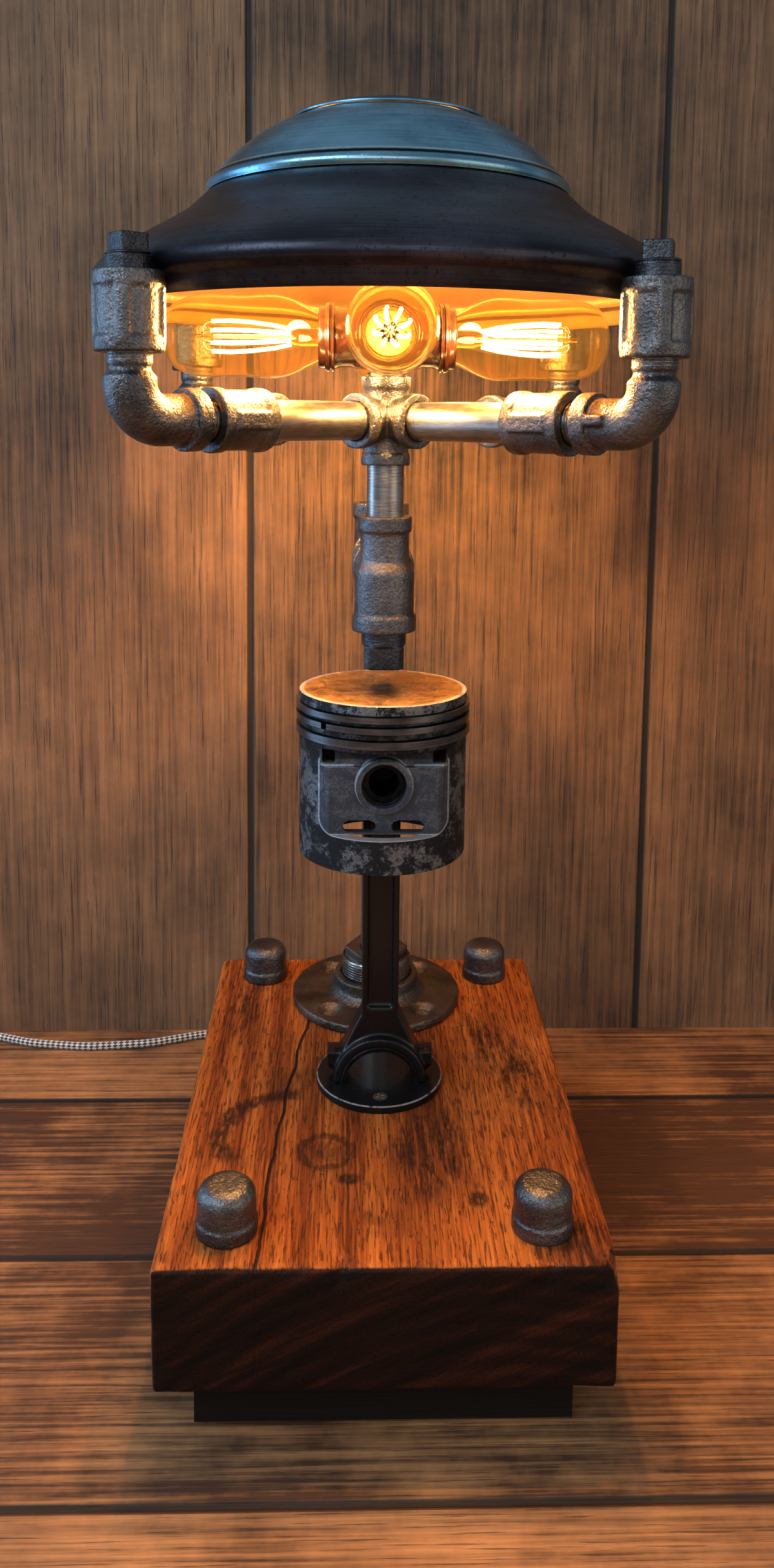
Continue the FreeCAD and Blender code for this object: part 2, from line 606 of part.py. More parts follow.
caps = []
dowels = []
for number, (x, y) in enumerate(CAP_PLACES):
    cap = turned(f"cap_{number}",
                 ("Z", [(0, 0), ("cap_radius", 0), ("cap_radius", "cap_band_height"),
                        ("cap_body_radius", "cap_band_height"),
                        ("cap_body_radius", "cap_height"), (0, "cap_height")]),
                 cuts=[("Z", [(0, 0), (THREAD_BORE, 0), (THREAD_BORE, "cap_bore_depth"),
                              (0, "cap_bore_depth")])])
    crown = size("cap_height")
    rounded(cap, f"cap_dome_{number}",
            lambda edge: abs(edge.BoundBox.ZMin - crown) < 0.01, "cap_dome")
    caps.append(place(cap, x, y, BASE_TOP))
    dowels.append(cylinder(f"dowel_{number}", "dowel_radius",
                           "dowel_sink + cap_bore_depth - dowel_clearance",
                           x, y, f"{BASE_TOP} - dowel_sink"))
keep(group("corner_caps", caps))
keep(group("cap_dowels", dowels))


def screws(label, places, z, head, head_height, shank, length):
    """Countersunk wood screws, heads up, tops at a height."""
    made = []
    for number, (x, y) in enumerate(places):
        points = [(0, f"-1 * ({length})"), (shank, f"-1 * ({length}) + 2 * {shank}"),
                  (shank, f"-1 * ({head_height})"), (head, 0), (0, 0)]
        made.append(place(turned(f"{label}_{number}", ("Z", points)), x, y, z))
    return made


def countersinks(label, places, z, head, head_height, shank):
    """Matching holes: the same shape, wider all round by the slack."""
    made = []
    for number, (x, y) in enumerate(places):
        wide = f"({head} + screw_slack)"
        narrow = f"({shank} + screw_slack)"
        points = [(0, "-1 * (sink_clearance + screw_length)"),
                  (narrow, "-1 * (sink_clearance + screw_length)"),
                  (narrow, f"-1 * ({head_height}) - screw_slack"), (wide, "-1 * screw_slack"),
                  (wide, "sink_clearance"), (0, "sink_clearance")]
        made.append(place(turned(f"{label}_{number}", ("Z", points)), x, y, z))
    return made


# Rear column: floor flange, screws, bushing, riser, tee, plug, link to the front tee
flange_blank = turned("rear_flange_blank",
                      ("Z", [("bushing_radius + thread_slack", 0), ("flange_radius", 0),
                             ("flange_radius", "flange_thickness"),
                             ("hub_foot_radius", "flange_thickness"),
                             ("hub_radius", "flange_thickness + hub_foot_radius - hub_radius"),
                             ("hub_radius", "hub_height"),
                             ("bushing_radius + thread_slack", "hub_height")]))
place(flange_blank, 0, "column_gap", BASE_TOP)
SINK_SLOPE = "(sink_height / (sink_radius - screw_shank_radius))"
SINK_Z = f"({BASE_TOP} + flange_thickness - 2 * screw_slack)"
SCREW_Z = f"({SINK_Z} - (sink_radius - screw_head_radius) * {SINK_SLOPE})"
SCREW_LENGTH = f"(screw_length - 2 * screw_slack - (sink_radius - screw_head_radius) * {SINK_SLOPE})"
sinks = countersinks("flange_sink", FLANGE_HOLES, SINK_Z, "sink_radius", "sink_height",
                     "screw_shank_radius")
keep(less("rear_flange_cut", flange_blank, *sinks), "rear_flange")
base_screws = screws("flange_screw", FLANGE_HOLES, SCREW_Z, "screw_head_radius",
                     f"(screw_head_radius - screw_shank_radius) * {SINK_SLOPE}",
                     "screw_shank_radius", SCREW_LENGTH)

BUSHING_TOP = "(bushing_thread_top + bushing_hex_height)"
bushing_body = turned("bushing_body",
                      ("Z", [("fitting_passage", "bushing_bottom"),
                             ("bushing_radius", "bushing_bottom"),
                             ("bushing_radius", "bushing_thread_top"),
                             ("bushing_collar_radius", "bushing_thread_top"),
                             ("bushing_collar_radius", BUSHING_TOP),
                             (THREAD_BORE, BUSHING_TOP),
                             (THREAD_BORE, f"{BUSHING_TOP} - thread_engagement - seat_clearance"),
                             ("fitting_passage", f"{BUSHING_TOP} - thread_engagement - seat_clearance")]))
bushing_hex = doc.addObject("Part::Prism", "bushing_hex")
bushing_hex.Polygon = 6
bushing_hex.setExpression("Circumradius", formula("bushing_hex_radius"))
bushing_hex.setExpression("Height", formula("bushing_hex_height"))
place(bushing_hex, z="bushing_thread_top")
hex_bore = cylinder("hex_bore", THREAD_BORE, "bushing_hex_height", z="bushing_thread_top")
hex_ring = less("bushing_hex_ring", bushing_hex, hex_bore)
keep(place(fused("hex_bushing", [bushing_body, hex_ring]), 0, "column_gap", BASE_TOP))

RISER_LOW = f"({BUSHING_TOP} - thread_engagement)"
RISER_HIGH = f"({TEE_HEIGHT} - tee_reach + thread_engagement)"
riser = turned("riser_pipe", ("Z", swapped(tube_profile(RISER_LOW, RISER_HIGH,
                                                        "pipe_bore", "pipe_radius"))))
keep(place(riser, 0, "column_gap", BASE_TOP))


def tee(label):
    """Three quarter inch tee with a half inch top; the outlet points to +Y."""
    low = "(-1 * tee_reach)"
    seat = "(thread_engagement + seat_clearance)"
    run = [(0, low), ("tee_band_radius", low), ("tee_band_radius", f"{low} + tee_band_height"),
           ("tee_body_radius", f"{low} + tee_band_height"),
           ("tee_body_radius", "tee_shoulder_low"), ("tee_neck_radius", "tee_shoulder_high"),
           ("tee_neck_radius", "tee_reach - tee_collar_height"),
           ("tee_collar_radius", "tee_reach - tee_collar_height"),
           ("tee_collar_radius", "tee_reach"), (0, "tee_reach")]
    outlet = [(0, 0), (0, "tee_body_radius - 2 * thread_slack"),
              ("tee_reach - tee_band_height", "tee_body_radius - 2 * thread_slack"),
              ("tee_reach - tee_band_height", "tee_band_radius"),
              ("tee_reach", "tee_band_radius"), ("tee_reach", 0)]
    run_bore = [(0, low), (WIDE_BORE, low), (WIDE_BORE, f"{low} + {seat}"),
                ("wide_passage", f"{low} + {seat}"), ("wide_passage", "tee_shoulder_low"),
                ("fitting_passage", "tee_shoulder_high"),
                ("fitting_passage", f"tee_reach - {seat}"), (THREAD_BORE, f"tee_reach - {seat}"),
                (THREAD_BORE, "tee_reach"), (0, "tee_reach")]
    outlet_bore = [(0, 0), (0, "wide_passage - thread_slack"),
                   (f"tee_reach - {seat}", "wide_passage - thread_slack"),
                   (f"tee_reach - {seat}", WIDE_BORE), ("tee_reach", WIDE_BORE),
                   ("tee_reach", 0)]
    return turned(label, ("Z", run), ("Y", outlet), cuts=[("Z", run_bore), ("Y", outlet_bore)])


rear_tee = place(tee("rear_tee"), 0, "column_gap", TEE_Z)
rear_tee.Placement.Rotation = Rotation(Vector(1, 0, 0), 180)
keep(rear_tee)
keep(place(tee("reducing_tee"), 0, 0, TEE_Z))

plug_blank = cylinder("flush_plug_blank", "wide_pipe_radius", "socket_plug_depth",
                      0, "column_gap", f"{TEE_Z} + tee_reach - socket_plug_depth")
plug_socket = doc.addObject("Part::Prism", "plug_socket")
plug_socket.Polygon = 6
plug_socket.setExpression("Circumradius", formula("socket_hex_radius"))
plug_socket.setExpression("Height", formula("socket_hex_depth"))
place(plug_socket, 0, "column_gap", f"{TEE_Z} + tee_reach - socket_hex_depth")
keep(less("rear_tee_plug", plug_blank, plug_socket))

link = turned("link_nipple", ("Y", tube_profile("tee_reach - thread_engagement",
                                                "column_gap - tee_reach + thread_engagement",
                                                "wide_pipe_bore", "wide_pipe_radius")))
keep(place(link, z=TEE_Z))

# Front column: drop plug, stem nipple, cross
drop_thread = cylinder("drop_thread", "drop_thread_radius", "drop_thread_show + thread_engagement",
                       z=f"{TEE_Z} - tee_reach - drop_thread_show")
half_head = "drop_head_width / 2"
cut_head = "(drop_head_width / 2 - drop_head_chamfer)"
HEAD_POINTS = [(f"{sx} * {a}", f"{sy} * {b}") for sx, sy, a, b in (
    (-1, -1, cut_head, half_head), (1, -1, cut_head, half_head), (1, -1, half_head, cut_head),
    (1, 1, half_head, cut_head), (1, 1, cut_head, half_head), (-1, 1, cut_head, half_head),
    (-1, 1, half_head, cut_head), (-1, -1, half_head, cut_head))]
drop_head = place(padded("drop_head", HEAD_POINTS, "drop_head_height"),
                  z=f"{TEE_Z} - tee_reach - drop_thread_show - drop_head_height")
keep(fused("drop_plug", [drop_thread, drop_head]))

STEM_LOW = f"({TEE_Z} + tee_reach - thread_engagement)"
STEM_HIGH = f"({ARM_Z} - cross_reach + thread_engagement)"
keep(turned("stem_nipple", ("Z", swapped(tube_profile(STEM_LOW, STEM_HIGH,
                                                      "pipe_bore", "pipe_radius")))))


def cross_leg(band, trim):
    """Both ends of one line through the cross."""
    reach = "cross_reach"
    near = "(cross_reach - cross_band_height)"
    radius = f"(cross_body_radius - {trim} * thread_slack)"
    return [(f"-1 * {reach}", 0), (f"-1 * {reach}", band), (f"-1 * {near}", band),
            (f"-1 * {near}", radius), (near, radius), (near, band), (reach, band), (reach, 0)]


def cross_bore(trim):
    """Both threaded bores and the passage of one line through the cross."""
    reach = "cross_reach"
    seat = "(cross_reach - thread_engagement - seat_clearance)"
    radius = f"(fitting_passage - {trim} * thread_slack)"
    return [(f"-1 * {reach}", 0), (f"-1 * {reach}", THREAD_BORE), (f"-1 * {seat}", THREAD_BORE),
            (f"-1 * {seat}", radius), (seat, radius), (seat, THREAD_BORE), (reach, THREAD_BORE),
            (reach, 0)]


cross = turned("cross", ("Z", swapped(cross_leg("cross_collar_radius", 0))),
               ("X", cross_leg("cross_band_radius", 1)), ("Y", cross_leg("cross_band_radius", 2)),
               cuts=[("Z", swapped(cross_bore(0))), ("X", cross_bore(1)), ("Y", cross_bore(2))])
keep(place(cross, z=ARM_Z, turn="arm_angle + 0"))

# Arms: pipe, coupling, close nipple, elbow, post coupling and plug, four times
ARM_NAMES = ("rear_right", "rear_left", "front_left", "front_right")
PLUG_TURNS = (10, 33, 39, 71)
arm_pipes = []
arm_couplings = []
close_nipples = []
post_couplings = []
post_plugs = []
for number, name in enumerate(ARM_NAMES):
    turn = f"arm_angle + {90 * number}"
    post_x = f"post_radius * cos(({turn}) * 1 deg)"
    post_y = f"post_radius * sin(({turn}) * 1 deg)"
    pipe = turned(f"arm_pipe_{name}",
                  ("X", tube_profile("cross_reach - thread_engagement",
                                     f"{COUPLING_START} + thread_engagement",
                                     "pipe_bore", "pipe_radius")))
    arm_pipes.append(place(pipe, z=ARM_Z, turn=turn))
    coupling = turned(f"arm_coupling_{name}",
                      ("X", banded_profile(COUPLING_START, COUPLING_END, THREAD_BORE,
                                           "coupling_band_radius", "coupling_band_height",
                                           "coupling_body_radius")))
    arm_couplings.append(place(coupling, z=ARM_Z, turn=turn))
    nipple = turned(f"close_nipple_{name}",
                    ("X", tube_profile(f"{COUPLING_END} - thread_engagement",
                                       f"{ELBOW_START} + thread_engagement",
                                       "pipe_bore", "pipe_radius")))
    close_nipples.append(place(nipple, z=ARM_Z, turn=turn))

    # the elbow's own origin is where its two legs would meet
    inner_end = "(-1 * elbow_reach)"
    leg = turned(f"elbow_leg_{name}",
                 ("X", [(inner_end, 0), (inner_end, "elbow_band_radius"),
                        (f"{inner_end} + elbow_band_height", "elbow_band_radius"),
                        (f"{inner_end} + elbow_band_height", "elbow_radius"),
                        ("-1 * elbow_bend", "elbow_radius"), ("-1 * elbow_bend", 0)]))
    male = turned(f"elbow_male_{name}",
                  ("Z", [(0, "elbow_bend"), ("elbow_radius", "elbow_bend"),
                         ("elbow_radius", "elbow_neck_low"),
                         ("elbow_neck_radius", "elbow_neck_low + elbow_radius - elbow_neck_radius"),
                         ("elbow_neck_radius", "elbow_thread_low"),
                         ("pipe_radius", "elbow_thread_low"),
                         ("pipe_radius", "post_low + thread_engagement"),
                         (0, "post_low + thread_engagement")]))
    bends = []
    for part_name, radius in (("skin", "elbow_radius"), ("bore", "elbow_passage")):
        bend = doc.addObject("Part::Torus", f"elbow_{part_name}_{name}")
        bend.setExpression("Radius1", formula("elbow_bend"))
        bend.setExpression("Radius2", formula(radius))
        bend.Angle3 = 90
        place(bend, "-1 * elbow_bend", 0, "elbow_bend")
        bend.Placement.Rotation = Rotation(Vector(1, 0, 0), 90) * Rotation(Vector(0, 0, 1), -90)
        bends.append(bend)
    leg_bore = turned(f"elbow_leg_bore_{name}",
                      ("X", [(inner_end, 0), (inner_end, THREAD_BORE),
                             (f"{inner_end} + thread_engagement + seat_clearance", THREAD_BORE),
                             (f"{inner_end} + thread_engagement + seat_clearance", "elbow_passage"),
                             ("-1 * elbow_bend", "elbow_passage"), ("-1 * elbow_bend", 0)]))
    male_bore = cylinder(f"elbow_male_bore_{name}", "elbow_male_passage",
                         "post_low + thread_engagement - elbow_bend", z="elbow_bend")
    elbow_solid = fused(f"elbow_solid_{name}", [leg, bends[0], male])
    elbow = less(f"street_elbow_{name}", elbow_solid, leg_bore, bends[1], male_bore)
    keep(place(elbow, post_x, post_y, ARM_Z, turn=turn))

    post = turned(f"post_coupling_{name}",
                  ("Z", swapped(banded_profile("post_low", POST_TOP, THREAD_BORE,
                                               "coupling_band_radius", "coupling_band_height",
                                               "coupling_body_radius"))))
    post_couplings.append(place(post, post_x, post_y, ARM_Z))
    thread = cylinder(f"post_plug_thread_{name}", "pipe_radius", "thread_engagement + post_plug_show",
                      post_x, post_y, f"{ARM_Z} + {POST_TOP} - thread_engagement")
    head = place(padded(f"post_plug_head_{name}", rectangle("post_head_width", "post_head_width"),
                        "post_head_height"),
                 post_x, post_y, f"{ARM_Z} + {POST_TOP} + post_plug_show",
                 turn=PLUG_TURNS[number])
    post_plugs.append(fused(f"post_plug_{name}", [thread, head]))
keep(group("post_couplings", post_couplings))
keep(group("arm_pipes", arm_pipes))
keep(group("arm_couplings", arm_couplings))
keep(group("close_nipples", close_nipples))
keep(group("post_plugs", post_plugs))

# Lampholder: brass adapter, lock ring, four-way body, liners and shade rings
HOLDER_LOW = f"({ARM_Z} + cross_reach)"
adapter = turned("brass_adapter",
                 ("Z", [("adapter_tube_bore", "-1 * thread_engagement"),
                        ("pipe_radius", "-1 * thread_engagement"),
                        ("pipe_radius", 0), ("adapter_ring_radius", 0),
                        ("adapter_ring_radius", "adapter_ring_height"),
                        ("adapter_tube_radius", "adapter_ring_height"),
                        ("adapter_tube_radius", "adapter_tube_height"),
                        ("adapter_tube_bore", "adapter_tube_height")]))
keep(place(adapter, z=HOLDER_LOW))
lock_ring = turned("lock_ring",
                   ("Z", swapped(tube_profile(0, "lock_ring_height",
                                              "adapter_tube_radius + thread_slack",
                                              "lock_ring_radius"))))
keep(place(lock_ring, z=f"{HOLDER_LOW} + adapter_ring_height"))

HOLDER_DROP = f"({BULB_Z} - {HOLDER_LOW} - adapter_ring_height - lock_ring_height)"


def barrel(turn):
    """Points of one holder barrel's outside; turn is 1 or -1 along its axis."""
    return [(0, 0), (0, "barrel_radius"), (f"{turn} * barrel_cone_start", "barrel_radius"),
            (f"{turn} * barrel_cone_end", "barrel_mouth_radius"),
            (f"{turn} * barrel_length", "barrel_mouth_radius"), (f"{turn} * barrel_length", 0)]


def socket(turn):
    """Points of one barrel's bore."""
    return [(f"{turn} * socket_depth", 0), (f"{turn} * socket_depth", "socket_radius"),
            (f"{turn} * barrel_length", "socket_radius"), (f"{turn} * barrel_length", 0)]


holder = turned("holder_body",
                ("Z", [(0, f"-1 * {HOLDER_DROP}"), ("hub_column_radius", f"-1 * {HOLDER_DROP}"),
                       ("hub_column_radius", "hub_top - hub_chamfer"),
                       ("hub_column_radius - hub_chamfer", "hub_top"), (0, "hub_top")]),
                ("X", barrel(1)), ("X", barrel(-1)), ("Y", barrel(1)), ("Y", barrel(-1)),
                cuts=[("X", socket(1)), ("X", socket(-1)), ("Y", socket(1)), ("Y", socket(-1)),
                      ("Z", [(0, f"-1 * {HOLDER_DROP}"),
                             ("adapter_tube_radius + thread_slack", f"-1 * {HOLDER_DROP}"),
                             ("adapter_tube_radius + thread_slack",
                              f"adapter_tube_height - {HOLDER_DROP}"),
                             (0, f"adapter_tube_height - {HOLDER_DROP}")])])
keep(place(holder, z=BULB_Z))

SIDES = (("right", 0), ("rear", 90), ("left", 180), ("front", 270))
liners = []
nuts = []
for side, turn in SIDES:
    low = "(socket_depth + thread_slack)"
    skin = "(socket_radius - thread_slack)"
    liner = turned(f"liner_{side}",
                   ("X", [(low, 0), (low, skin), (f"{low} + liner_length", skin),
                          (f"{low} + liner_length", f"{skin} - liner_wall"),
                          (f"{low} + liner_wall", f"{skin} - liner_wall"),
                          (f"{low} + liner_wall", 0)]))
    liners.append(place(liner, z=BULB_Z, turn=turn))
    nut = turned(f"nut_{side}",
                 ("X", tube_profile("nut_start", "nut_start + nut_length",
                                    "barrel_mouth_radius + thread_slack", "nut_radius")))
    nuts.append(place(nut, z=BULB_Z, turn=turn))
keep(group("socket_liners", liners))
keep(group("holder_rings", nuts))


def profile(name, letters):
    """The (radius, height) places of a turned skin, read from the sheet."""
    return [Vector(size(f"{name}_{letter}_radius"), 0, size(f"{name}_{letter}_height"))
            for letter in letters]


def shell(points, wall, level_start=False):
    """A turned skin: the smooth curve through the points is its outside.

    The points run outward and down; a level start closes a top on the axis.
    """
    outer = Part.BSplineCurve()
    if level_start:
        final = points[-1] - points[-2]
        outer.interpolate(Points=points, InitialTangent=Vector(1, 0, 0), FinalTangent=final)
    else:
        outer.interpolate(points)
    first = outer.FirstParameter
    last = outer.LastParameter
    steps = 3 * len(points)
    inner_points = []
    for index in range(steps + 1):
        mark = first + (last - first) * index / steps
        along = outer.tangent(mark)[0]
        inner_points.append(outer.value(mark) - Vector(-along.z, 0, along.x) * wall)
    inner = Part.BSplineCurve()
    inner.interpolate(inner_points)
    edges = [outer.toShape(), Part.LineSegment(points[-1], inner_points[-1]).toShape(),
             inner.toShape(), Part.LineSegment(inner_points[0], points[0]).toShape()]
    face = Part.Face(Part.Wire(Part.__sortEdges__(edges)))
    return face.revolve(Vector(0, 0, 0), Vector(0, 0, 1), 360)


# Bulbs: a glass, a brass cap and an inner stem for each of the four
base_top = size("pad_height") + size("plinth_height") + size("block_height")
tee_z = base_top + total("pin_height", "piston_rise", "drop_gap", "drop_head_height",
                         "drop_thread_show", "tee_reach")
arm_z = tee_z + size("stem_span")
bulb_z = arm_z + size("bulb_rise")
glass_shape = shell(profile("glass", "abcdefg"), size("glass_wall"), level_start=True)
for side, turn in SIDES:
    glass = plain_feature(f"bulb_glass_{side}", glass_shape)
    lying = Rotation(Vector(0, 0, 1), turn) * Rotation(Vector(0, 1, 0), 90)
    glass.Placement = Placement(Vector(0, 0, bulb_z), lying)
    keep(glass)
    bulb_cap = turned(f"bulb_cap_{side}",
                      ("X", [("tip_start", 0), ("tip_start", "tip_radius"),
                             ("cap_screw_start", "tip_radius"),
                             ("cap_screw_start + cap_shoulder", "cap_screw_radius"),
                             ("bulb_cap_end", "cap_screw_radius"), ("bulb_cap_end", 0)]))
    keep(place(bulb_cap, z=BULB_Z, turn=turn))
    stem = turned(f"bulb_stem_{side}",
                  ("X", [("bulb_cap_end", 0), ("bulb_cap_end", "stem_radius"),
                         ("(bulb_cap_end + stem_end) / 2", "stem_radius"),
                         ("stem_end", "support_radius"), ("support_end", "support_radius"),
                         ("support_end", 0)]))
    keep(place(stem, z=BULB_Z, turn=turn))

# Shade: top cap, dome and skirt, turned steel
wall = size("shade_wall")
rim_radius = size("shade_dome_g_radius")
flare = size("post_radius") - rim_radius
skirt_radii = {letter: rim_radius + flare * size(f"shade_skirt_{letter}_share")
               for letter in "abcdef"}
skirt_radii |= {letter: size("post_radius") - size(f"shade_skirt_{letter}_inset")
                for letter in "ghijkl"}
skirt_points = [Vector(radius, 0, size(f"shade_skirt_{letter}_height"))
                for letter, radius in skirt_radii.items()]
keep(plain_feature("shade_cap", shell(profile("shade_cap", "abcd"), wall, level_start=True),
                   z=arm_z))
keep(plain_feature("shade_dome", shell(profile("shade_dome", "abcdefg"), wall), z=arm_z))
keep(plain_feature("shade_skirt", shell(skirt_points, wall), z=arm_z))

# Piston, its rings, pin and circlips; heights here are measured from the pin's axis
groove_sets = []
for name in ("top_ring", "second_ring", "oil_ring"):
    low = f"(piston_rise - {name}_depth - ring_slack)"
    high = f"(piston_rise - {name}_depth + {name}_height + ring_slack)"
    groove_sets.append(("Z", [("ring_groove_radius", low), ("ring_radius + ring_slack", low),
                              ("ring_radius + ring_slack", high), ("ring_groove_radius", high)]))
SKIRT_END = "(-1 * piston_fall)"
CAVITY_HEIGHT = "(piston_rise + piston_fall - crown_thickness)"
piston_blank = turned("piston_blank",
                      ("Z", [(0, SKIRT_END), ("piston_radius", SKIRT_END),
                             ("piston_radius", "piston_rise"),
                             ("dimple_radius", "piston_rise"),
                             (0, "piston_rise - dimple_depth")]),
                      cuts=groove_sets)
cavity_round = cylinder("cavity_round", "piston_bore", CAVITY_HEIGHT, z=SKIRT_END)
cavity_slab = block("cavity_slab", "2 * piston_radius", "2 * inner_flat", CAVITY_HEIGHT,
                    "-1 * piston_radius", "-1 * inner_flat", SKIRT_END)
cavity_ring = cylinder("cavity_ring", "piston_bore", "piston_fall - panel_fall", z=SKIRT_END)
cavity_core = common("cavity_core", cavity_round, cavity_slab)
panel_tools = []
for side in (-1, 1):
    near = "-1 * piston_radius" if side < 0 else "panel_plane"
    panel_tools.append(block(f"panel_cut_{side + 1}", "2 * panel_half_width",
                             "piston_radius - panel_plane", "panel_rise + panel_fall",
                             "-1 * panel_half_width", near, "-1 * panel_fall"))
    near = "-1 * piston_radius" if side < 0 else "recess_plane"
    panel_tools.append(block(f"recess_cut_{side + 1}", "2 * panel_half_width",
                             "piston_radius - recess_plane", "recess_rise - panel_rise",
                             "-1 * panel_half_width", near, "panel_rise"))
for side in (-1, 1):
    panel_tools.append(block(f"window_{side + 1}", "window_width", "4 * piston_radius",
                             "window_high - window_low",
                             f"{side} * window_place - window_width / 2",
                             "-2 * piston_radius", "window_low"))
    panel_tools.append(block(f"slot_{side + 1}", "slot_width", "4 * piston_radius",
                             "slot_low - slot_high", f"{side} * slot_place - slot_width / 2",
                             "-2 * piston_radius", "-1 * slot_low"))
piston_shell = less("piston_shell", piston_blank, cavity_core, cavity_ring, *panel_tools)
boss_round = cylinder("boss_round", "boss_radius", "2 * boss_face", 0, "-1 * boss_face",
                      along="Y")
boss_gap = block("boss_gap", "4 * boss_radius", "2 * boss_inner", "4 * boss_radius",
                 "-2 * boss_radius", "-1 * boss_inner", "-2 * boss_radius")
bosses = less("bosses", boss_round, boss_gap)
pin_hole = cylinder("pin_hole", "pin_radius + pin_slack", "4 * piston_radius", 0,
                    "-2 * piston_radius", along="Y")
clip_low = "(pin_half_length + pin_slack)"
clip_grooves = [turned(f"clip_groove_{side + 1}",
                       ("Y", tube_profile(f"{side} * {clip_low}",
                                          f"{side} * ({clip_low} + 2 * clip_wire + 2 * pin_slack)",
                                          "pin_radius / 2",
                                          "pin_radius + clip_wire + 2 * pin_slack")))
                for side in (-1, 1)]
piston = less("piston", fused("piston_with_bosses", [piston_shell, bosses]), pin_hole,
              *clip_grooves)
keep(place(piston, z=PIN_Z))

gudgeon = turned("gudgeon_pin", ("Y", tube_profile("-1 * pin_half_length", "pin_half_length",
                                                   "pin_bore", "pin_radius")))
keep(place(gudgeon, z=PIN_Z))
clips = []
for side in (-1, 1):
    ring = doc.addObject("Part::Torus", f"circlip_{side + 1}")
    ring.setExpression("Radius1", formula("pin_radius"))
    ring.setExpression("Radius2", formula("clip_wire"))
    ring.Angle3 = 330
    place(ring, 0, f"{side} * ({clip_low} + clip_wire + pin_slack)", PIN_Z)
    ring.Placement.Rotation = Rotation(Vector(1, 0, 0), 90) * Rotation(Vector(0, 0, 1), 105)
    clips.append(ring)
keep(group("circlips", clips))

for name, split_turn in (("top_ring", 70), ("second_ring", 228), ("oil_ring", 130)):
    whole = turned(f"{name}_whole",
                   ("Z", swapped(tube_profile(0, f"{name}_height", "ring_inner_radius",
                                              "ring_radius"))))
    split = block(f"{name}_split", "2 * ring_radius", "ring_split", f"2 * {name}_height",
                  0, "-1 * ring_split / 2", f"-1 * {name}_height / 2")
    keep(place(less(f"piston_{name}", whole, split), z=f"{PIN_Z} + piston_rise - {name}_depth",
               turn=split_turn))

# Connecting rod on its foot flange
foot_blank = place(turned("foot_blank", ("Z", [(0, 0), ("foot_radius", 0),
                                               ("foot_radius", "foot_thickness"),
                                               (0, "foot_thickness")])), z=BASE_TOP)
FOOT_Z = f"({BASE_TOP} + foot_thickness - screw_slack)"
foot_sinks = countersinks("foot_sink", FOOT_HOLES, FOOT_Z, "foot_screw_head",
                          "foot_screw_head_height", "foot_screw_shank")
keep(less("foot_flange_cut", foot_blank, *foot_sinks), "foot_flange")
base_screws += screws("foot_screw", FOOT_HOLES, FOOT_Z, "foot_screw_head",
                      "foot_screw_head_height", "foot_screw_shank",
                      "foot_screw_length - screw_slack")
keep(group("base_screws", base_screws))

arch_round = cylinder("arch_round", "arch_radius", "2 * arch_half_depth", 0,
                      "-1 * arch_half_depth", "foot_thickness", along="Y")
ears = block("bolt_ears", "2 * ear_reach", "2 * ear_half_depth", "ear_height",
             "-1 * ear_reach", "-1 * ear_half_depth", "foot_thickness + ear_low")
shank = block("rod_shank", "2 * shank_half_width", "2 * shank_half_depth",
              "pin_height - foot_thickness", "-1 * shank_half_width",
              "-1 * shank_half_depth", "foot_thickness")
flare_points = [(f"{side} * {x}", z) for side, x, z in (
    (-1, "flare_half_width", "flare_low"), (1, "flare_half_width", "flare_low"),
    (1, "shank_half_width", "flare_height"), (-1, "shank_half_width", "flare_height"))]
web = padded("rod_flare", flare_points, "2 * shank_half_depth", plane="XZ_Plane",
             lift="-1 * shank_half_depth")
small_end = cylinder("small_end", "small_end_radius", "2 * small_end_half_depth", 0,
                     "-1 * small_end_half_depth", "pin_height", along="Y")
rod_solid = fused("rod_solid", [arch_round, ears, shank, web, small_end])
rod_tools = [cylinder("arch_bore_cut", "arch_bore", "4 * arch_half_depth", 0,
                      "-2 * arch_half_depth", "foot_thickness", along="Y"),
             block("below_foot", "4 * arch_radius", "4 * arch_half_depth", "2 * arch_radius",
                   "-2 * arch_radius", "-2 * arch_half_depth",
                   "foot_thickness - 2 * arch_radius"),
             cylinder("small_end_bore", "pin_radius + pin_slack", "4 * arch_half_depth", 0,
                      "-2 * arch_half_depth", "pin_height", along="Y")]
for side in (-1, 1):
    near = "-1 * shank_half_depth" if side < 0 else "shank_half_depth - flute_depth"
    rod_tools.append(block(f"flute_{side + 1}", "2 * (shank_half_width - flute_edge)",
                           "flute_depth",
                           "pin_height - small_end_radius - flare_height - 2 * flute_edge",
                           "flute_edge - shank_half_width", near, "flare_height + flute_edge"))
keep(place(less("con_rod", rod_solid, *rod_tools), z=BASE_TOP))

# Cord: gland, free run, coil of the unseen length, tail, plug and the inner lead wire
gland = turned("cord_gland",
               ("Y", [("-1 * gland_sink", 0), ("-1 * gland_sink", "gland_neck"),
                      (0, "gland_neck"), (0, "gland_radius"), ("gland_length", "gland_radius"),
                      ("gland_length", 0)]))
keep(place(gland, 0, f"{PLINTH_LENGTH} / 2", GLAND_Z))


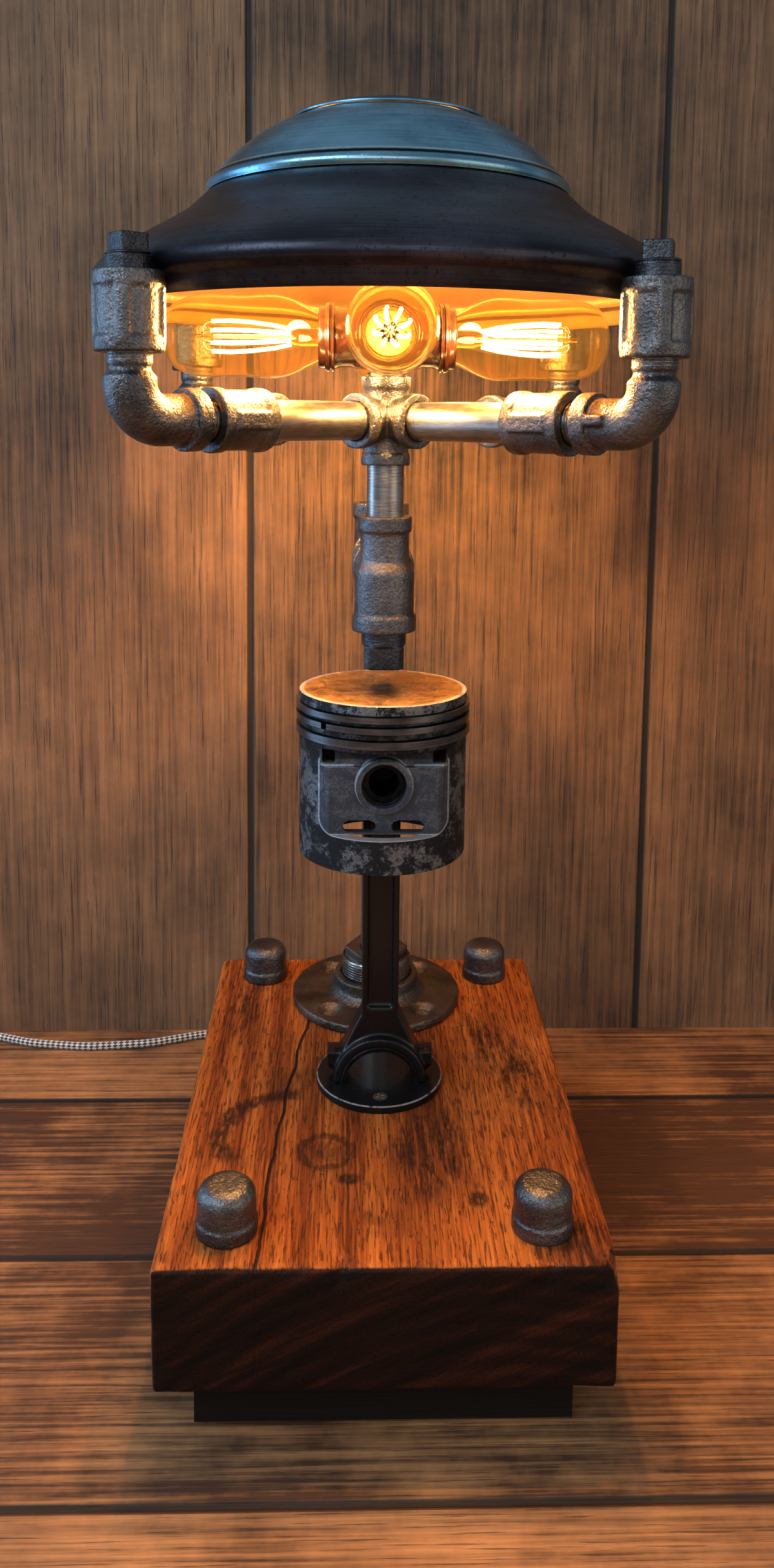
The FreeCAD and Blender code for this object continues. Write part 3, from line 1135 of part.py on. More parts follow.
def bent_path(points, report):
    """Straight runs joined by tangent arcs as large as the runs allow."""
    edges = []
    radii = []
    at = points[0]
    for before, corner, after in zip(points, points[1:], points[2:]):
        into = (corner - before).normalize()
        away = (after - corner).normalize()
        half = into.getAngle(away) / 2
        reach = 0.45 * min((corner - before).Length, (after - corner).Length)
        radius = reach / math.tan(half)
        radii.append(radius)
        begin = corner - into * reach
        end = corner + away * reach
        toward = (away - into).normalize()
        middle = corner + toward * (radius / math.cos(half) - radius)
        edges.append(Part.LineSegment(at, begin).toShape())
        edges.append(Part.Arc(begin, middle, end).toShape())
        at = end
    edges.append(Part.LineSegment(at, points[-1]).toShape())
    path = Part.Wire(edges)
    print(report, "length", round(path.Length, 1), "least radius", round(min(radii), 1))
    return path


def swept(path, radius):
    """A round tube along a path."""
    edge = path.OrderedEdges[0]
    start = edge.valueAt(edge.FirstParameter)
    along = edge.tangentAt(edge.FirstParameter)
    ring = Part.Wire([Part.Circle(start, along, radius).toShape()])
    tube = path.makePipeShell([ring], True, False)
    section = math.pi * radius * radius
    print("  volume over section times length", round(tube.Volume / section / path.Length, 4))
    return tube


cord_radius = size("cord_radius")
gland_face = size("block_length") / 2 - size("plinth_end_gap") + size("gland_length")
gland_z = size("pad_height") + size("plinth_height") / 2
sag = gland_z - cord_radius
# Places of the run: to the left of the gland, behind it, and the share of the sag left
ROUTE = [(0, 0, 1), (1, 24, 0.88), (19, 46, 0.38), (50, 62, 0), (91, 70, 0), (133, 65, 0),
         (174, 51, 0), (222, 46, 0), (267, 52, 0), (305, 66, 0), (338, 86, 0)]
RUN_POINTS = [Vector(-left, gland_face + behind, cord_radius + share * sag)
              for left, behind, share in ROUTE]
run_path = bent_path(RUN_POINTS, "cord run")
keep(plain_feature("cord_run", swept(run_path, cord_radius)))


def tangent_arc(start, way, end):
    """Middle of the arc that leaves a point in a direction and reaches another."""
    chord = end - start
    line = Vector(chord).normalize()
    lean = way.getAngle(line)
    across = (way - line * way.dot(line)).normalize()
    return (start + end) * 0.5 + across * (chord.Length / 2 * math.tan(lean / 2))


def biarc(start, start_way, end, end_way):
    """Two tangent arcs between two points with given directions."""
    chord = end - start
    turn = 2 * (1 - start_way.dot(end_way))
    push = chord.dot(start_way + end_way)
    reach = (math.sqrt(push * push + turn * chord.dot(chord)) - push) / turn
    joint = (start + end + (start_way - end_way) * reach) * 0.5
    first_middle = tangent_arc(start, start_way, joint)
    last_middle = tangent_arc(end, end_way * -1, joint)
    return [Part.Arc(start, first_middle, joint).toShape(),
            Part.Arc(joint, last_middle, end).toShape()]


# The coil spirals in on the table, climbs a layer in half a turn and spirals out again
coil_pitch = size("coil_pitch")
coil_turns = size("coil_turns")
coil_outer = size("coil_radius") + coil_pitch * coil_turns / 2
coil_inner = size("coil_radius") - coil_pitch * coil_turns / 2
end_length = size("coil_end_length")
run_way = (RUN_POINTS[-1] - RUN_POINTS[-2]).normalize()
coil_start = RUN_POINTS[-1] + run_way * end_length
coil_centre = coil_start + Vector(-run_way.y, run_way.x, 0) * coil_outer
first_angle = math.atan2(-run_way.x, run_way.y)
climb_end = coil_turns + 0.5
coil_total = 2 * coil_turns + 0.5


def coil_point(turn):
    """A point of the coil's middle line after so many turns."""
    if turn <= coil_turns:
        radius = coil_outer - coil_pitch * turn
        lift = 0.0
    elif turn <= climb_end:
        climb = 2 * math.pi * (turn - coil_turns)
        radius = coil_inner - size("coil_tuck") * (1 - math.cos(2 * climb)) / 2
        lift = coil_pitch * (1 - math.cos(climb)) / 2
    else:
        radius = coil_inner + coil_pitch * (turn - climb_end)
        lift = coil_pitch
    angle = first_angle + 2 * math.pi * turn
    return coil_centre + Vector(radius * math.cos(angle), radius * math.sin(angle), lift)


def coil_way(turn):
    """The coil's direction there."""
    small = 0.002
    ahead = coil_point(min(turn + small, coil_total))
    behind = coil_point(max(turn - small, 0))
    return (ahead - behind).normalize()


steps = round(coil_total * 4)
marks = [coil_total * index / steps for index in range(steps + 1)]
places = [coil_point(mark) for mark in marks]
ways = [coil_way(mark) for mark in marks]
ways[0] = Vector(run_way)
ways[-1] = run_way * -1
coil_end = places[-1] + ways[-1] * end_length
coil_edges = [Part.LineSegment(RUN_POINTS[-1], coil_start).toShape()]
for index in range(steps):
    coil_edges += biarc(places[index], ways[index], places[index + 1], ways[index + 1])
coil_edges.append(Part.LineSegment(places[-1], coil_end).toShape())
coil_path = Part.Wire(coil_edges)
samples = coil_path.discretize(Number=900)
apart = int(900 * 0.3 / coil_total)
nearest = min(one.distanceToPoint(two) for index, one in enumerate(samples)
              for two in samples[index + apart:])
arc_radii = [edge.Curve.Radius for edge in coil_edges if hasattr(edge.Curve, "Radius")]
print("cord coil length", round(coil_path.Length, 1), "least radius", round(min(arc_radii), 1),
      "least gap to itself", round(nearest - 2 * cord_radius, 2))
keep(plain_feature("cord_coil", swept(coil_path, cord_radius)))

plug_z = size("plug_thickness") / 2
tail_reach = size("tail_reach")
TAIL_POINTS = [coil_end, coil_end + ways[-1] * tail_reach,
               coil_end + ways[-1] * tail_reach + Vector(18, -14, plug_z - coil_end.z),
               coil_end + ways[-1] * tail_reach + Vector(30, -22, plug_z - coil_end.z)]
tail_path = bent_path(TAIL_POINTS, "cord tail")
keep(plain_feature("cord_tail", swept(tail_path, cord_radius)))

plug_way = (TAIL_POINTS[-1] - TAIL_POINTS[-2]).normalize()
plug_turn = math.degrees(math.atan2(plug_way.y, plug_way.x))
plug_body = block("plug_body", "plug_length", "plug_width", "plug_thickness",
                  0, "-1 * plug_width / 2", "-1 * plug_thickness / 2")
plug_pins = [cylinder(f"plug_pin_{side + 1}", "plug_pin_radius", "plug_length / 2 + plug_pin_length",
                      "plug_length / 2", f"{side} * plug_pin_gap / 2", 0, along="X")
             for side in (-1, 1)]
cord_plug = fused("cord_plug", [plug_body, *plug_pins])
cord_plug.Placement = Placement(TAIL_POINTS[-1], Rotation(Vector(0, 0, 1), plug_turn))
keep(cord_plug)

wire_bend = size("wire_bend")
column = size("column_gap")
wire_back = size("block_length") / 2 - size("plinth_end_gap") - size("gland_sink")
wire_top = arm_z + total("cross_reach", "adapter_tube_height")
LEAD_CORNERS = [Vector(0, wire_back, gland_z), Vector(0, column, gland_z),
                Vector(0, column, tee_z), Vector(0, 0, tee_z), Vector(0, 0, wire_top)]
lead_edges = []
at = LEAD_CORNERS[0]
for before, corner, after in zip(LEAD_CORNERS, LEAD_CORNERS[1:], LEAD_CORNERS[2:]):
    into = (corner - before).normalize()
    away = (after - corner).normalize()
    begin = corner - into * wire_bend
    end = corner + away * wire_bend
    middle = corner + (away - into) * (wire_bend * (1 - math.sqrt(0.5)))
    lead_edges += [Part.LineSegment(at, begin).toShape(), Part.Arc(begin, middle, end).toShape()]
    at = end
lead_edges.append(Part.LineSegment(at, LEAD_CORNERS[-1]).toShape())
keep(plain_feature("lead_wire", swept(Part.Wire(lead_edges), size("wire_radius"))))

# Check every object, then write each piece to its own file
doc.recompute()
for item in doc.Objects:
    if "Invalid" in item.State or "Error" in item.State:
        raise RuntimeError(f"{item.Name} failed: {item.State}")
names = [item.Label for item in nodes]
if len(names) != len(set(names)):
    raise RuntimeError("two pieces share a name")
os.makedirs("parts", exist_ok=True)
for item in nodes:
    if item.Shape.isNull() or not item.Shape.isValid() or not item.Shape.Solids:
        raise RuntimeError(f"{item.Label} has no valid solid")
    item.Shape.exportStep(f"parts/{item.Label}.step")
print(len(nodes), "pieces written")
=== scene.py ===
# %% [markdown]
# A table lamp made of iron pipe fittings on an old wooden block, with a steel
# shade, four glowing bulbs and an engine piston as ornament. The solids of every
# piece come packed from CAD and give the true sizes. This lesson dresses them:
# each cell says what a piece or finish is on the real lamp, and how it is made.

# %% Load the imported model
import itertools
import json
import math

import bmesh
import bpy
from mathutils import Matrix, Vector, noise


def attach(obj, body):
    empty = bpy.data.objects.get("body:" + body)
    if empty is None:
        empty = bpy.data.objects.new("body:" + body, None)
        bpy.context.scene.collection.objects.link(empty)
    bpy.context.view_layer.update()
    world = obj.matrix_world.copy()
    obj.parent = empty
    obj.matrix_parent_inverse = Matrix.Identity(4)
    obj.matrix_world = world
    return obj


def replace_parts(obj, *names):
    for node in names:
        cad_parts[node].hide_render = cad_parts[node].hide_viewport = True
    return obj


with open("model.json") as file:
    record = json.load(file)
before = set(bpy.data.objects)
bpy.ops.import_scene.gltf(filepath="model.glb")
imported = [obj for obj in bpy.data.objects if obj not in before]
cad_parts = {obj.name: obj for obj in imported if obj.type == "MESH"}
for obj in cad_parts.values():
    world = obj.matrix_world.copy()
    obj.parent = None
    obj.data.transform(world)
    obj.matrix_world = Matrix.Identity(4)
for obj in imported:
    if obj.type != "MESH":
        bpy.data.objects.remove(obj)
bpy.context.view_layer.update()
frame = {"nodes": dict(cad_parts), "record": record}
nodes = frame["nodes"]
BODY_OF = {name: body for body, members in frame["record"]["behaviour"]["bodies"].items()
           for name in members}

# %% [markdown]
# The camera stands low and close, so the shade is seen from a little below its top
# and the block runs towards us. A lens of 27.6 mm on a 36 mm frame, and a shift
# instead of a steeper tilt, keep the pipes nearly upright.

# %% Camera
PICTURE_HEIGHT = 2432
FOCAL_PIXELS = 1865.9
AXIS_ROW = 870
CAMERA_PLACE = (-0.019, -0.6895, 0.4955)
yaw, pitch, roll = (math.radians(angle) for angle in (1.70, 6.92, 0.61))
ahead = Vector((math.sin(yaw) * math.cos(pitch), math.cos(yaw) * math.cos(pitch),
                -math.sin(pitch)))
level = ahead.cross(Vector((0, 0, 1))).normalized()
right = level * math.cos(roll) + level.cross(ahead) * math.sin(roll)
camera_data = bpy.data.cameras.new("photo_camera")
camera_data.sensor_width = 36
camera_data.lens = FOCAL_PIXELS / PICTURE_HEIGHT * camera_data.sensor_width
camera_data.shift_y = AXIS_ROW / PICTURE_HEIGHT - 0.5
camera_data.clip_start = 0.01
camera = bpy.data.objects.new("photo_camera", camera_data)
bpy.context.scene.collection.objects.link(camera)
turned = Matrix((right, right.cross(ahead), -ahead)).transposed().to_4x4()
camera.matrix_world = Matrix.Translation(CAMERA_PLACE) @ turned
bpy.context.scene.camera = camera
print("lens", round(camera_data.lens, 2), "shift", round(camera_data.shift_y, 4))

# %% [markdown]
# Shader maths reads best as plain sums. A Value wraps a socket, so that adding or
# multiplying two of them adds a Math node.


# %% Sums on sockets
class Value:
    """A number, colour or vector that comes out of a node."""

    def __init__(self, finish, socket):
        self.finish = finish
        self.socket = socket

    def __add__(self, other):
        return self.finish.math("ADD", self, other)

    def __sub__(self, other):
        return self.finish.math("SUBTRACT", self, other)

    def __rsub__(self, other):
        return self.finish.math("SUBTRACT", other, self)

    def __mul__(self, other):
        return self.finish.math("MULTIPLY", self, other)

    def __truediv__(self, other):
        return self.finish.math("DIVIDE", self, other)

    __radd__ = __add__
    __rmul__ = __mul__

    def power(self, other):
        return self.finish.math("POWER", self, other)

    def sine(self):
        return self.finish.math("SINE", self)

    def size(self):
        """The value without its sign."""
        return self.finish.math("ABSOLUTE", self)

    def between(self, low, high):
        """0 below low, 1 above high, smooth between."""
        return self.finish.node("ShaderNodeMapRange", {"interpolation_type": "SMOOTHSTEP"},
                                {"Value": self, "From Min": low, "From Max": high})

    def below(self, low, high):
        """1 below low, 0 above high, smooth between."""
        return 1 - self.between(low, high)

    def near(self, full, gone):
        """1 closer to zero than full, on both sides, and 0 further off than gone."""
        return self.size().below(full, gone)


# %% [markdown]
# A Finish is one material on Blender's Principled shader. It has a call for each
# kind of node that the patterns of this lamp need, and reads the object's own
# coordinates, so a pattern stays where it is when a piece moves.


# %% One material
class Finish:
    """One material, with a call for each kind of node that it needs."""

    def __init__(self, name, **sockets):
        self.material = bpy.data.materials.new(name)
        self.material.use_nodes = True
        self.tree = self.material.node_tree
        self.shader = self.tree.nodes["Principled BSDF"]
        for socket, value in sockets.items():
            self.shader.inputs[socket.replace("_", " ")].default_value = value
        self.place = self.node("ShaderNodeTexCoord", {}, (), "Object")

    def node(self, kind, settings, values, output=0):
        """Any node: its settings first, then the values or links of its sockets."""
        made = self.tree.nodes.new(kind)
        for name, value in settings.items():
            if name == "stops":
                bands = made.color_ramp.elements
                while len(bands) < len(value):
                    bands.new(0.5)
                for band, (at, colour) in zip(bands, value):
                    band.position = at
                    band.color = (*colour, 1)
            else:
                setattr(made, name, value)
        pairs = values.items() if isinstance(values, dict) else enumerate(values)
        for key, value in pairs:
            if isinstance(value, Value):
                self.tree.links.new(value.socket, made.inputs[key])
            else:
                made.inputs[key].default_value = value
        return Value(self, made.outputs[output])

    def math(self, operation, *values):
        return self.node("ShaderNodeMath", {"operation": operation}, values)

    def ramp(self, factor, *stops):
        """A colour ramp through (place, colour) stops."""
        return self.node("ShaderNodeValToRGB", {"stops": stops}, (factor,))

    def stretched(self, x, y, z):
        """The object's own place, squeezed or drawn out along each axis."""
        return self.node("ShaderNodeVectorMath", {"operation": "MULTIPLY"},
                         (self.place, (x, y, z)))

    def noise(self, scale, detail=3, rough=0.55, place=None, warp=0.0):
        return self.node("ShaderNodeTexNoise", {},
                         {"Vector": place or self.place, "Scale": scale, "Detail": detail,
                          "Roughness": rough, "Distortion": warp})

    def streaks(self, stretch, detail=4, rough=0.65):
        """Noise drawn out by a stretch along each axis."""
        return self.noise(1.0, detail, rough, self.stretched(*stretch))

    def split(self, vector=None):
        """The x, y and z of a vector as three Values."""
        made = self.node("ShaderNodeSeparateXYZ", {}, (vector or self.place,))
        return [Value(self, output) for output in made.socket.node.outputs]

    def math_max(self, *values):
        """The largest of several Values."""
        largest = values[0]
        for value in values[1:]:
            largest = self.math("MAXIMUM", largest, value)
        return largest

    def joined(self, x, y, z):
        return self.node("ShaderNodeCombineXYZ", {}, (x, y, z))

    def mixed(self, factor, one, two):
        """Colour one where the factor is 0, colour two where it is 1."""
        one, two = (value if isinstance(value, Value) else (*value, 1) for value in (one, two))
        return self.node("ShaderNodeMix", {"data_type": "RGBA"}, {0: factor, 6: one, 7: two}, 2)

    def feed(self, socket, value):
        self.tree.links.new(value.socket, self.shader.inputs[socket])

    def bumped(self, height, distance):
        """Feed a height in metres per unit to the surface's normal."""
        self.feed("Normal", self.node("ShaderNodeBump", {},
                                      {"Height": height, "Distance": distance}))


# %% [markdown]
# Malleable iron is cast in sand, so its skin is finely pitted. The zinc has gone
# dark like gunmetal, a little lighter where hands and spanners have rubbed it.
# Coarse noise gives the cloudy tone, fine noise the sand, and both lift the surface.


# %% Iron finishes
def iron_finish(name, dark, light, roughness, sand=1100, depth=0.0006):
    finish = Finish(name, Metallic=0.92)
    cloud = finish.noise(38, 4, 0.6)
    grit = finish.noise(sand, 2, 0.6)
    lumps = finish.noise(420, 2)
    specks = finish.noise(620, 2, 0.5).between(0.60, 0.72)
    tone = (cloud * 0.75 + grit * 0.5 - 0.12).between(0.25, 0.8)
    finish.feed("Base Color", finish.mixed(specks * 0.55, finish.mixed(tone, dark, light), dark))
    finish.feed("Roughness", roughness + cloud * 0.24 - 0.12)
    finish.bumped(grit * 0.6 + lumps, depth)
    return finish.material


iron = iron_finish("cast_gunmetal", (0.040, 0.042, 0.048), (0.215, 0.215, 0.225), 0.36)
dark_iron = iron_finish("cast_black", (0.022, 0.025, 0.032), (0.10, 0.11, 0.13), 0.38)
bronze_iron = iron_finish("cast_bronzed", (0.035, 0.031, 0.030), (0.21, 0.175, 0.145), 0.40)
print("iron finishes", iron.name, dark_iron.name, bronze_iron.name)

# %% [markdown]
# Pipe, threads and screws are drawn or cut metal. Noise that is squeezed hard along
# one axis turns into fine lines, which is what a die or a lathe leaves.


# %% Drawn and turned metal
def metal_finish(name, dark, light, roughness, lines):
    """Drawn or turned metal: fine lines drawn out by the stretch given in lines."""
    finish = Finish(name, Metallic=1.0)
    streaks = finish.streaks(lines, 3, 0.6)
    cloud = finish.noise(60, 3, 0.6)
    tone = (streaks * 0.7 + cloud * 0.6 - 0.15).between(0.2, 0.85)
    finish.feed("Base Color", finish.mixed(tone, dark, light))
    finish.feed("Roughness", roughness + streaks * 0.2 - 0.1)
    finish.bumped(streaks, 0.00006)
    return finish.material


pipe_steel = metal_finish("satin_pipe", (0.20, 0.19, 0.18), (0.46, 0.45, 0.43), 0.35,
                          (140, 140, 1500))
thread_steel = metal_finish("cut_thread", (0.16, 0.15, 0.14), (0.46, 0.44, 0.41), 0.28,
                            (600, 600, 600))
thread_dark = metal_finish("black_thread", (0.016, 0.018, 0.022), (0.10, 0.11, 0.13), 0.34,
                           (600, 600, 600))
screw_zinc = metal_finish("dull_zinc", (0.20, 0.18, 0.15), (0.48, 0.45, 0.40), 0.38,
                          (300, 300, 300))
brass = metal_finish("satin_brass", (0.50, 0.33, 0.10), (0.80, 0.58, 0.24), 0.28,
                     (400, 400, 400))
ring_iron = metal_finish("worn_ring", (0.035, 0.037, 0.044), (0.21, 0.22, 0.24), 0.34,
                         (40, 40, 2600))
pin_black = metal_finish("oiled_pin", (0.006, 0.006, 0.007), (0.028, 0.026, 0.026), 0.55,
                         (300, 300, 300))

# %% [markdown]
# The rod and its foot are painted gloss black. A clear coat gives the wet
# highlights, a faint orange-peel bump keeps them from looking like plastic, and
# dust shows as pale specks. The foot's rim is rubbed back to bare metal.

# %% Gloss black paint
rod_black = Finish("gloss_black", Roughness=0.36, Coat_Weight=0.25, Coat_Roughness=0.12,
                   Specular_IOR_Level=0.2)
peel = rod_black.noise(420, 2)
dust = rod_black.noise(900, 2).between(0.67, 0.75)
x, y, z = rod_black.split()
on_rim = (x * x + y * y).power(0.5).between(0.0370, 0.0374) * z.between(0.0979, 0.0982)
rim_wear = on_rim * rod_black.noise(260, 3).between(0.30, 0.55)
painted = rod_black.mixed(dust * 0.5, (0.0035, 0.0038, 0.0045), (0.06, 0.055, 0.05))
rod_black.feed("Base Color", rod_black.mixed(rim_wear * 0.8, painted, (0.26, 0.25, 0.24)))
rod_black.bumped(peel, 0.0002)

# %% [markdown]
# The lampholder is a brown phenolic moulding, so dark that it looks black away from
# the light. Warped noise gives the faint swirl of the resin.

# %% Brown moulding and small plain finishes
bakelite = Finish("brown_moulding", Roughness=0.22, Coat_Weight=0.3, Coat_Roughness=0.08)
swirl = bakelite.noise(46, 4, 0.6, warp=1.6)
bakelite.feed("Base Color", bakelite.ramp(swirl, (0.3, (0.005, 0.002, 0.001)),
                                          (0.55, (0.015, 0.005, 0.003)),
                                          (0.75, (0.042, 0.013, 0.006))))
bakelite.bumped(bakelite.noise(240, 2), 0.00008)

black_trim = Finish("black_trim", Roughness=0.5)
black_trim.feed("Base Color", black_trim.mixed(black_trim.noise(700, 2), (0.012, 0.012, 0.013),
                                               (0.045, 0.044, 0.043)))
black_trim.bumped(black_trim.noise(1500, 2), 0.00008)

felt = Finish("felt", Roughness=0.95)
felt.feed("Base Color", felt.mixed(felt.noise(1800, 3), (0.01, 0.01, 0.01), (0.06, 0.06, 0.06)))
felt.bumped(felt.noise(2500, 2), 0.0004)

pine = Finish("dowel_wood", Roughness=0.7)
pine.feed("Base Color", pine.mixed(pine.streaks((900, 900, 30), 3, 0.6), (0.45, 0.30, 0.15),
                                   (0.66, 0.48, 0.28)))
print("materials so far", len(bpy.data.materials))

# %% [markdown]
# The block is an old beam with orange-red wood. Long fibres and open pores run from
# back to front, so noise is drawn out along Y for both. Its ends are sawn across and
# nearly black, partly because end grain drinks the oil and partly from painted shade.

# %% Fibres and rings of the block
wood = Finish("old_beam", Specular_IOR_Level=0.15)
x, y, z = wood.split()
drift = wood.noise(5, 2, 0.5, wood.stretched(1, 0.25, 1))
across = x * 0.94 + z * 0.75 + drift * 0.05
depth = z * 0.94 - x * 0.75 + 0.16
rings = ((across * across + depth * depth).power(0.5) * 520 + drift * 16).sine() * 0.5 + 0.5
fibre = wood.streaks((760, 15, 760), 5, 0.66)
pores = wood.streaks((850, 62, 850)).between(0.55, 0.62)
tone = rings * 0.16 + fibre * 0.80 + wood.noise(9, 3, 0.6) * 0.26 - 0.12
heart = wood.ramp(tone, (0.24, (0.050, 0.010, 0.003)), (0.42, (0.200, 0.046, 0.009)),
                  (0.58, (0.37, 0.103, 0.018)), (0.82, (0.54, 0.205, 0.050)))

# %% [markdown]
# Old stains tell where the beam has lain. Round ones have a dark outline, like the
# ring a wet tin leaves; broad ones follow the grain as streaks. Each is a distance
# from its middle, with noise added so that no outline is a clean circle.


# %% Stains and the long split
def from_spot(middle_x, middle_y, half_x, half_y, ragged=0.35, slant=0.0):
    """Distance from a place on the top, 1 at the edge of its ellipse."""
    away_x = (x - middle_x - (y - middle_y) * slant) / half_x
    away_y = (y - middle_y) / half_y
    ripple = wood.noise(95, 5, 0.72) - 0.5
    return (away_x * away_x + away_y * away_y).power(0.5) + ripple * ragged * 2


def outline_of(distance, width):
    """1 on the edge of a spot, falling off to both sides."""
    return (distance - 1).near(width * 0.3, width)


arc_share = x.below(-0.054, -0.040) * y.between(-0.088, -0.074)
stains = [
    outline_of(from_spot(-0.052, -0.056, 0.0385, 0.0385, 0.22), 0.20) * arc_share,
    outline_of(from_spot(-0.031, -0.073, 0.0140, 0.0140, 0.30), 0.30) * 0.8,
    from_spot(-0.031, -0.073, 0.0130, 0.0130, 0.40).below(0.5, 1.0) * 0.55,
    from_spot(-0.018, -0.097, 0.0070, 0.0050).below(0.6, 1.2),
    from_spot(0.049, -0.114, 0.0060, 0.0070).below(0.5, 1.2),
    from_spot(0.030, 0.074, 0.0060, 0.0090).below(0.5, 1.3),
]
streaky = wood.streaks((300, 34, 300)).between(0.38, 0.60)
patches = [
    from_spot(0.028, -0.070, 0.0280, 0.0520).below(0.45, 1.20),
    from_spot(0.080, 0.020, 0.0240, 0.0800, 0.4, -0.356).below(0.40, 1.20),
    from_spot(-0.088, 0.090, 0.0140, 0.0600).below(0.40, 1.15),
    from_spot(0.100, -0.150, 0.0200, 0.0300).below(0.40, 1.20),
]
broken_up = wood.streaks((520, 150, 520), 4, 0.7).between(0.34, 0.56)
stain = wood.math_max(*stains, *(patch * streaky for patch in patches)) * (broken_up * 0.6 + 0.4)
soiled = wood.noise(17, 4, 0.62, wood.stretched(1.0, 0.5, 1.0), 0.7).between(0.58, 0.66)
flecks = wood.streaks((420, 90, 420), 3, 0.6).between(0.63, 0.70)
stained = wood.mixed(soiled * 0.50, heart, (0.075, 0.022, 0.009))
stained = wood.mixed(stain * 0.95, stained, (0.028, 0.010, 0.005))
stained = wood.mixed(flecks * 0.60, stained, (0.040, 0.014, 0.007))
stained = wood.mixed(pores * 0.68, stained, (0.055, 0.014, 0.005))
line = x - (y * 0.091 + y * y * 0.24 - 0.0535) + (wood.noise(34, 3) - 0.5) * 0.007
normal_y = wood.split(wood.node("ShaderNodeNewGeometry", {}, (), "Normal"))[1]
end_share = normal_y.size().between(0.30, 0.50)
crack = line.near(0.0003, 0.0011) * (1 - end_share * 0.8)
stained = wood.mixed(crack * 0.92, stained, (0.010, 0.005, 0.004))

# %% [markdown]
# The ends show end grain. It is almost black, partly with oil and partly with painted
# shade, and the saw has left slanting marks in which some red wood still shows. The
# face's own normal tells the shader which side it is on, so the same material serves
# the whole block.

# %% End grain
SAW_SLOPE = math.radians(24)
with_saw = x * math.cos(SAW_SLOPE) + z * math.sin(SAW_SLOPE)
over_saw = z * math.cos(SAW_SLOPE) - x * math.sin(SAW_SLOPE)
sawn = wood.noise(1.0, 5, 0.62, wood.joined(with_saw * 7, y * 20, over_saw * 120))
# The ends' near-black tone is partly oiled end grain and partly painted shade.
oiled_and_shaded = sawn * 0.9 + rings * 0.10 - 0.05
shaded_end_grain = wood.ramp(oiled_and_shaded, (0.30, (0.003, 0.0015, 0.001)), (0.48, (0.014, 0.0036, 0.0015)),
                      (0.62, (0.042, 0.0095, 0.003)), (0.84, (0.105, 0.024, 0.007)))
wood.feed("Base Color", wood.mixed(end_share, stained, shaded_end_grain))
wood.feed("Roughness", 0.62 - fibre * 0.18 + stain * 0.1)
wood.bumped(fibre * 0.6 - pores * 0.6 - crack * 2.6 - flecks * 0.5 + sawn * end_share * 0.2,
            0.0008)

# The plinth is near black, partly its own dark finish and partly painted shade under the block.
plinth_finish_and_shade = Finish("plinth_stain", Roughness=0.7, Specular_IOR_Level=0.15)
grain = plinth_finish_and_shade.streaks((18, 500, 500), 4, 0.6)
plinth_finish_and_shade.feed("Base Color", plinth_finish_and_shade.mixed(grain, (0.003, 0.002, 0.002),
                                                   (0.012, 0.009, 0.007)))
plinth_finish_and_shade.bumped(grain, 0.0005)
print("wood nodes", len(wood.tree.nodes))

# %% [markdown]
# The piston is a used casting: bluish grey alloy with oil and carbon burnt into its
# skin, thickest low on the skirt. Its crown is golden brown, partly baked carbon and
# partly painted warm light of the bulbs, with a pale line along its rim and a dark mark
# beside the small dimple. Pale lines along the panel, the pin boss and the shelf are
# painted highlights.

# %% Piston alloy
CROWN_Z = 0.3375
alloy = Finish("worn_alloy", Metallic=0.88)
x, y, z = alloy.split()
mottle = alloy.noise(85, 6, 0.72, warp=0.4)
fine = alloy.noise(520, 4, 0.7)
drops = alloy.noise(260, 4, 0.7).between(0.60, 0.68)
low = z.below(0.262, 0.276)
grime = (mottle * 0.95 + fine * 0.45 + low * 0.06 - 0.16).between(0.46, 0.60)
skin = alloy.mixed(fine, (0.085, 0.094, 0.110), (0.30, 0.32, 0.35))
dirty = alloy.mixed(grime * 0.94, skin, (0.012, 0.012, 0.013))
dirty = alloy.mixed(drops * 0.6, dirty, (0.040, 0.034, 0.030))
plain = alloy.mixed(fine, (0.034, 0.040, 0.054), (0.125, 0.142, 0.175))


def rounded_box(half_x, low_z, high_z, corner):
    """Distance from a box with round corners, seen along Y; below 0 inside it."""
    out_x = alloy.math_max(x.size() - half_x + corner, 0)
    out_z = alloy.math_max((z - (low_z + high_z) / 2).size() - (high_z - low_z) / 2 + corner, 0)
    return (out_x * out_x + out_z * out_z).power(0.5) - corner


def edge_line(distance, half):
    return distance.near(half * 0.4, half)


PIN_Z = 0.290
sides = y.size().between(0.026, 0.030)
panel = rounded_box(0.0365, 0.2615, 0.3100, 0.0085)
off_pin = z - PIN_Z
from_pin = (x * x + off_pin * off_pin).power(0.5)
dirty = alloy.mixed(panel.below(-0.001, 0.0) * sides * 0.72, dirty, plain)
shelf = edge_line(z - 0.3010, 0.0009) * x.size().between(0.0165, 0.0175)
# Painted highlights: pale lines along the panel's edge, round the pin boss and on the shelf.
painted_edge_highlights = alloy.math_max(edge_line(panel, 0.0007), edge_line(from_pin - 0.0161, 0.0006),
                        shelf * x.near(0.0350, 0.0360))
dirty = alloy.mixed(painted_edge_highlights * sides * 0.75, dirty, (0.42, 0.46, 0.52))
grooves = z.between(0.3035, 0.3050) * z.below(0.3300, 0.3312)
dirty = alloy.mixed(grooves * 0.75, dirty, (0.018, 0.017, 0.018))
